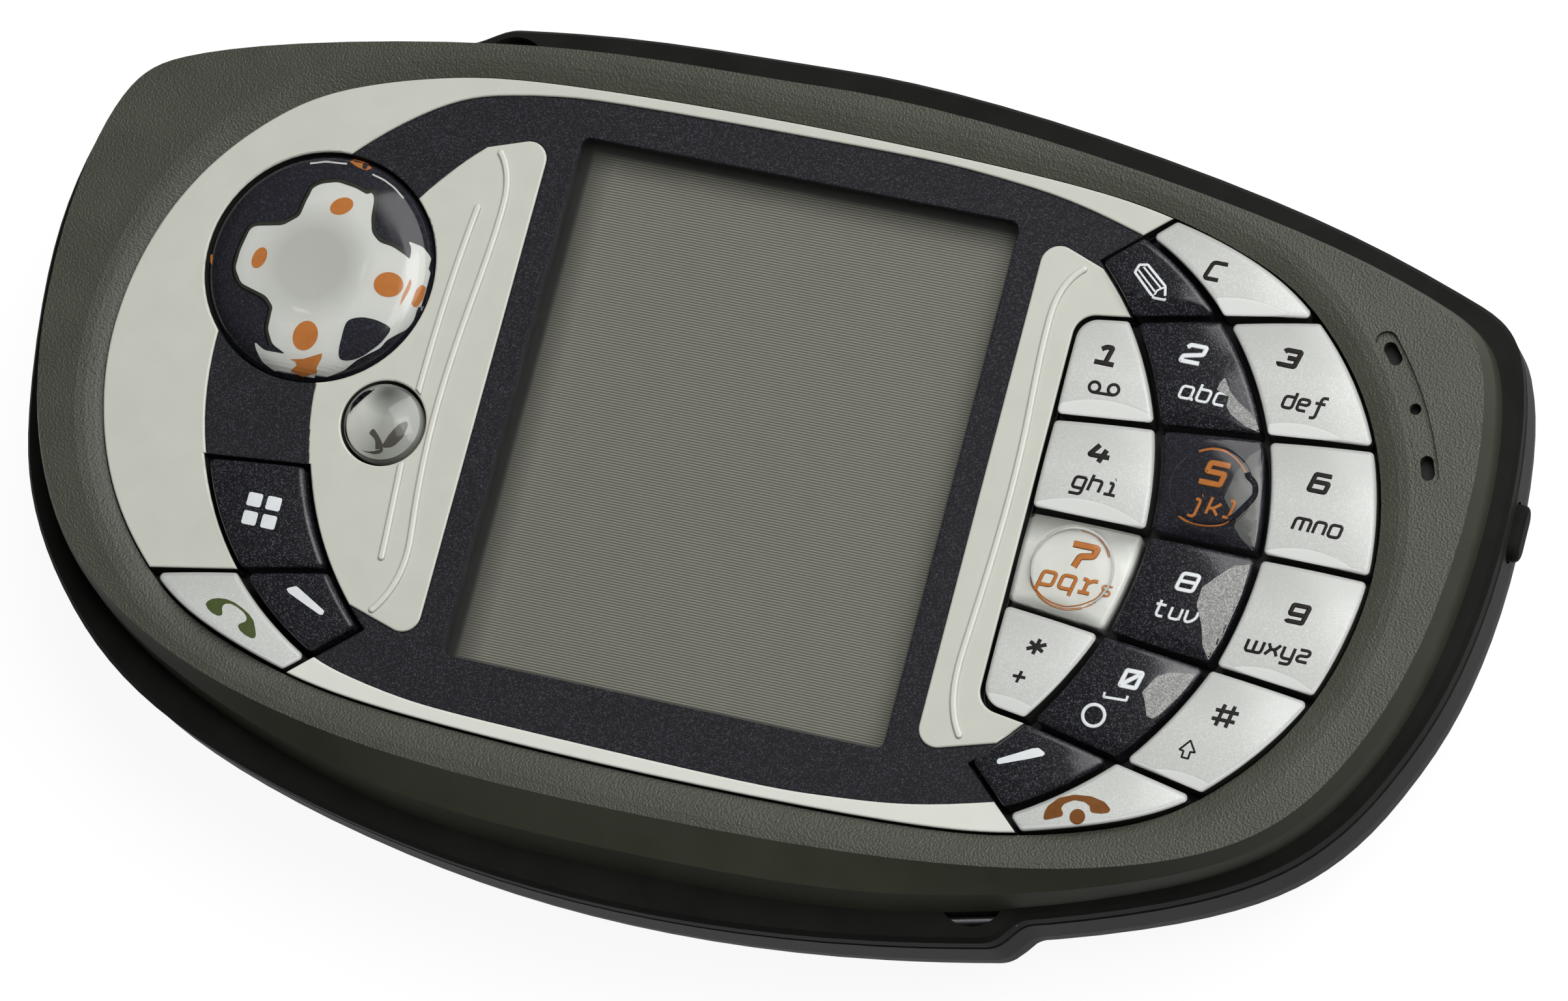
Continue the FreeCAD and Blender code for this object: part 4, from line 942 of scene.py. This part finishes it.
# %% [markdown]
# Wedges, dots and the two telephone receivers are filled shapes. A flat face as large as these
# would cut under the bulging key, so planes slice it into a fine grid first, and then each
# grid point can follow the key's surface.

# %% Filled signs
green_ink = ink("green_ink", (71, 83, 45), (78, 90, 52))
brown_ink = ink("brown_ink", (117, 72, 35), (128, 81, 42))
CELL = 0.3  # mm between the cuts of a filled shape


def filled(name, node, material, outlines, corner=0.15, layer=0):
    """Filled printed shape from outlines in face mm, laid on a key."""
    bm = bmesh.new()
    for outline in outlines:
        path = soft_corners([Vector(p) for p in outline], True, corner)
        bm.faces.new([bm.verts.new((p.x, p.y, 0)) for p in path])
    for axis in (0, 1):
        low = min(v.co[axis] for v in bm.verts)
        high = max(v.co[axis] for v in bm.verts)
        normal = Vector((1 - axis, axis, 0))
        for k in range(1, int((high - low) / CELL) + 1):
            bmesh.ops.bisect_plane(bm, geom=bm.verts[:] + bm.edges[:] + bm.faces[:], dist=1e-5,
                                   plane_co=normal * (low + CELL * k), plane_no=normal)
    bmesh.ops.triangulate(bm, faces=bm.faces[:])
    for v in bm.verts:
        v.co.z = -INK_T / 2
    top = bmesh.ops.extrude_face_region(bm, geom=bm.faces[:])
    for v in top["geom"]:
        if isinstance(v, bmesh.types.BMVert):
            v.co.z = INK_T
    lay(name, bm, node, node, material, layer)


receiver = [
    (31.4, -23.0), (31.55, -22.5), (32.2, -21.75), (33.3, -21.25), (34.6, -21.1), (35.7, -21.3),
    (36.3, -21.75), (36.2, -22.05), (35.6, -22.25), (34.9, -22.3), (34.75, -22.1), (34.7, -21.85),
    (34.2, -21.62), (33.4, -21.65), (32.7, -22.1), (32.55, -22.5), (32.85, -22.85), (32.75, -23.1),
    (31.6, -23.62), (31.42, -23.5)]
filled("sign_end_key", "end_key", brown_ink,
       [[(x + 0.1, y - 0.3) for x, y in receiver], oval(34.05, -23.15, 0.6, 0.6, steps=20)], layer=2)
other_receiver = [
    (-37.67, -21.42), (-37.58, -21.16), (-37.27, -20.91), (-36.77, -20.74), (-36.12, -20.69),
    (-35.43, -20.81), (-34.68, -21.11), (-34.03, -21.45), (-33.49, -21.9), (-33.18, -22.5),
    (-32.98, -22.99), (-33.03, -23.24), (-33.29, -23.28), (-33.81, -23.16), (-34.33, -22.9),
    (-34.61, -22.59), (-34.58, -22.42), (-34.35, -22.26), (-34.12, -22.12), (-34.06, -21.88),
    (-34.16, -21.69), (-34.48, -21.41), (-35.06, -21.13), (-35.68, -20.97), (-36.07, -21.04),
    (-36.27, -21.23), (-36.27, -21.5), (-36.11, -21.92), (-36.24, -22.08), (-36.51, -22.11),
    (-36.95, -21.99), (-37.38, -21.76)]
filled("sign_send_key", "send_key", green_ink, [other_receiver], 0.08, layer=1)
filled("sign_soft_right", "soft_key_right", white_ink, [[
    (26.91, -20.3), (26.99, -20.46), (27.13, -20.49), (27.79, -20.22), (29.28, -19.61), (30.26, -19.17),
    (30.4, -19.01), (30.33, -18.87), (29.92, -18.67), (29.76, -18.63), (29.33, -18.77), (28.2, -19.41),
    (26.97, -20.09)]], 0.06)
filled("sign_soft_left", "soft_key_left", white_ink, [[
    (-31.58, -18.92), (-31.5, -18.8), (-30.95, -18.54), (-30.79, -18.54), (-28.15, -19.94),
    (-28.1, -20.04), (-28.16, -20.3), (-28.42, -20.33), (-29.8, -19.78), (-31.35, -19.15)]], 0.08)
filled("sign_menu_key", "menu_key", white_ink,
       [[(x - 0.6, y - 0.55), (x + 0.6, y - 0.55), (x + 0.6, y + 0.55), (x - 0.6, y + 0.55)]
        for x, y in ((-36.1, -12.5), (-34.5, -12.5), (-36.1, -14.0), (-34.5, -14.0))], 0.2)

# %% [markdown]
# ## Painted reflections and lens rings
# Keys 2, 5, 8 and 0 carry a painted reflection of the soft box on their right-hand side: flaky
# silver, and smooth under key 5's clear skin. The round lenses of keys 5 and 7 show a ring at their
# border: a painted shade on one and a painted highlight on the other.

# %% Painted reflections and lens rings
flaky_reflection_paint = finish("flaky_reflection_paint", (142, 143, 140), 0.5, 0.2)
flakes(flaky_reflection_paint, (128, 129, 126), (186, 187, 184), 14.0, 0.35)
grain(flaky_reflection_paint, 7.0, 0.01)
smooth_reflection_paint = ink("smooth_reflection_paint", (75, 76, 74), (82, 83, 81), per_mm=0.6)
reflection_patches = {
    "key_2": [(36.7, 12.45), (37.35, 11.5), (38.05, 10.9), (39.1, 10.25), (39.75, 9.8), (40.4, 8.75),
              (39.15, 9.05), (37.8, 9.75), (37.35, 10.3), (37.35, 11.1), (36.3, 11.4), (36.45, 12.1)],
    "key_8": [(41.0, -1.75), (42.2, -1.4), (42.1, -3.85), (41.5, -7.35), (40.85, -9.3), (40.15, -8.3),
              (39.65, -6.7), (38.9, -5.25), (39.0, -3.9), (40.0, -2.75)],
    "key_0": [(38.15, -10.85), (40.25, -10.5), (39.45, -12.3), (38.3, -14.1), (37.8, -14.6), (37.3, -14.5),
              (36.85, -13.35), (36.5, -12.75), (37.25, -11.4)],
    "key_5": [(40.85, 7.6), (41.55, 4.75), (42.1, 0.8), (42.1, -0.3), (40.9, 0.5), (40.25, 1.2),
              (40.25, 1.75), (39.35, 2.75), (38.95, 3.25), (39.3, 5.15), (40.1, 6.85)],
}
for key, outline in reflection_patches.items():
    filled("painted_reflection_" + key, key, smooth_reflection_paint if key == "key_5" else flaky_reflection_paint,
           [outline], 0.12, layer=1)
# Painted shade: a dark ring along the border of key 5's lens.
inked("key_5_lens_shade", "key_5_cap", "key_5", navy_under, layer=1,
      lines=[([(40.2, 5.55), (40.38, 5.22), (40.85, 4.97), (41.15, 4.5), (41.2, 3.85), (40.9, 3.3),
               (40.55, 2.75), (40.14, 2.06), (39.7, 1.7)], 0.46, 0.3),
             ([(39.8, 1.75), (39.39, 1.47), (38.33, 1.09), (37.31, 1.03), (36.35, 1.27), (35.59, 1.72)],
              0.12, 0.3)])
# Painted highlight: a light ring along the border of key 7's lens.
lens_edge_highlight = ink("lens_edge_highlight", (187, 188, 183), (193, 194, 189))
inked("key_7_lens_highlight", "key_7_cap", "key_7", lens_edge_highlight, layer=1,
      lines=[(oval(28.85, -4.5, 3.18, 3.18, turn=-45, steps=48)[:36], 0.16, 0.05)])
print("reflection_patches", len(reflection_patches))

# %% [markdown]
# ## Paint on the D-pad
# A rounded pearl cross runs out into a bright rim at the lower right. A dark olive line along its
# left and upper sides and around a navy blot is painted shade. It has four orange dots, and painted
# copies of bits of them show at the rim, as the lens bends them there. Thin pearl lines along the
# upper rim are painted highlights. The pieces are layers of paint on the core, from the painted
# shade at the bottom to the dots and highlights on top.

# %% D-pad paint
cross_edge_shade = ink("cross_edge_shade", (42, 43, 37), (47, 48, 42), 0.7, 0.05, 1.0)
cross = [
    (-38.5, 12.45), (-38.45, 12.9), (-37.85, 13.4), (-36.55, 13.8), (-34.95, 13.6), (-33.9, 13.25),
    (-33.6, 13.55), (-33.25, 13.05), (-33.1, 11.55), (-32.7, 10.35), (-31.9, 9.7), (-30.7, 9.55),
    (-29.45, 9.05), (-29.05, 8.8), (-29.2, 9.8), (-29.65, 10.25), (-28.3, 10.0), (-27.45, 9.15),
    (-27.05, 7.7), (-27.05, 5.35), (-27.8, 3.4), (-29.2, 2.1), (-29.45, 1.45), (-31.05, 0.15),
    (-31.85, -0.85), (-33.3, -1.75), (-35.2, -2.2), (-37.15, -2.05), (-38.55, -1.5), (-39.3, -0.75),
    (-39.65, -0.1), (-38.65, -0.65), (-36.85, -0.6), (-38.15, -0.05), (-38.85, 1.05), (-38.95, 2.5),
    (-38.95, 2.9), (-39.75, 3.65), (-42.05, 4.25), (-42.85, 5.35), (-42.85, 6.9), (-42.55, 8.65),
    (-42.2, 9.0), (-40.0, 9.5), (-38.85, 10.5), (-38.65, 11.9)]
blot = [
    (-32.6, 3.15), (-31.6, 3.55), (-30.4, 3.55), (-29.2, 3.25), (-29.0, 2.95), (-29.55, 1.75),
    (-30.7, 0.45), (-31.5, -0.05), (-32.25, -0.2), (-32.6, 0.05), (-32.75, 0.75), (-32.8, 2.6)]
LOW, MIDDLE, TOP = 2, 4, 6  # the layers of ink
# Painted shade along the edge of the cross and around the blot.
inked("dpad_cross_shade", "dpad", "dpad", cross_edge_shade, layer=LOW,
      lines=[(cross[33:] + cross[:14], 0.75, 0.5), (blot, 0.35, 0.4, True)])
filled("dpad_cross_print", "dpad", pearl_print, [cross], 0.35, layer=MIDDLE)
filled("dpad_blot", "dpad", navy_under, [blot], 0.5, layer=TOP)
filled("dpad_dots", "dpad", orange,
       [oval(-35.7, 11.95, 0.97, 0.68, 30), oval(-41.15, 6.55, 0.56, 0.9, -10),
        oval(-30.2, 6.5, 1.22, 1.02, 0), oval(-35.7, 1.15, 1.02, 1.22, 0)], 0.2, layer=TOP)
# Painted copies of bits of the dots, where the lens's rim bends them into view.
filled("dpad_dots_refracted", "dpad", orange,
       [[(-28.55, 7.35), (-28.4, 6.9), (-28.45, 6.2), (-28.85, 5.0), (-28.85, 5.8), (-28.65, 7.1)],
        [(-27.6, 7.05), (-27.25, 6.85), (-27.25, 5.9), (-27.5, 5.25), (-27.7, 5.15), (-28.0, 5.35),
         (-27.9, 6.55)],
        [(-36.4, -0.95), (-35.35, -0.7), (-33.95, 0.05), (-33.9, -0.4), (-34.1, -1.2), (-33.9, -1.5),
         (-34.95, -2.0), (-36.1, -1.8), (-35.7, -1.3), (-35.95, -1.0)],
        [(-36.04, 15.45), (-35.5, 15.52), (-34.83, 15.48), (-34.11, 15.27), (-34.51, 15.1),
         (-35.21, 15.2)],
        [(-45.2, 6.0), (-45.05, 6.1), (-44.9, 5.6), (-44.85, 5.2), (-45.05, 5.45)]], 0.08, layer=TOP)
# Painted highlights along the upper rim of the D-pad.
inked("dpad_rim_highlights", "dpad", "dpad", pearl_print, layer=TOP,
      lines=[([(-33.95, 14.9), (-32.95, 14.65), (-31.95, 14.2), (-30.95, 13.5)], 0.12, 0.3),
             ([(-39.15, 14.75), (-37.9, 15.15), (-36.2, 15.3)], 0.12, 0.3)])

# %% [markdown]
# The select key's silver dome carries painted reflections: a thin navy streak, and two small
# leaves and a sliver in dark olive grey.

# %% Select key paint
leaf_reflection_grey = ink("leaf_reflection_grey", (67, 65, 57), (74, 72, 64), 0.7, 0.05, 1.0)
# Painted reflections: two dark leaves and a sliver at the foot of the dome.
filled("select_leaf_reflections", "select", leaf_reflection_grey,
       [[(-27.13, -6.04), (-26.88, -5.26), (-26.35, -4.27), (-25.98, -4.02), (-25.78, -3.94), (-25.62, -4.04),
         (-25.57, -4.32), (-25.7, -5.21), (-26.15, -5.94), (-26.46, -6.19), (-26.86, -6.31), (-27.08, -6.3)],
        [(-28.45, -5.45), (-28.37, -5.22), (-28.26, -5.03), (-28.06, -5.08), (-27.49, -5.63), (-27.14, -6.04),
         (-27.06, -6.3), (-27.01, -6.44), (-27.35, -6.5), (-27.6, -6.59), (-27.78, -5.96), (-27.98, -5.73)],
        [(-28.69, -6.79), (-28.45, -6.88), (-28.08, -6.85), (-27.67, -6.74), (-27.15, -6.45), (-27.01, -6.39),
         (-26.97, -6.54), (-27.05, -6.72), (-27.25, -6.87), (-27.66, -6.98), (-28.44, -6.93)]], 0.08)
# Painted reflection: a thin navy streak at the upper left of the dome.
filled("select_streak_reflection", "select", navy_under, [[
    (-30.44, -4.14), (-30.5, -3.83), (-30.45, -3.33), (-30.17, -2.76), (-29.85, -2.35), (-29.48, -2.09),
    (-28.89, -1.96), (-29.36, -2.52), (-30.02, -3.49)]], 0.1)
print("select painted")
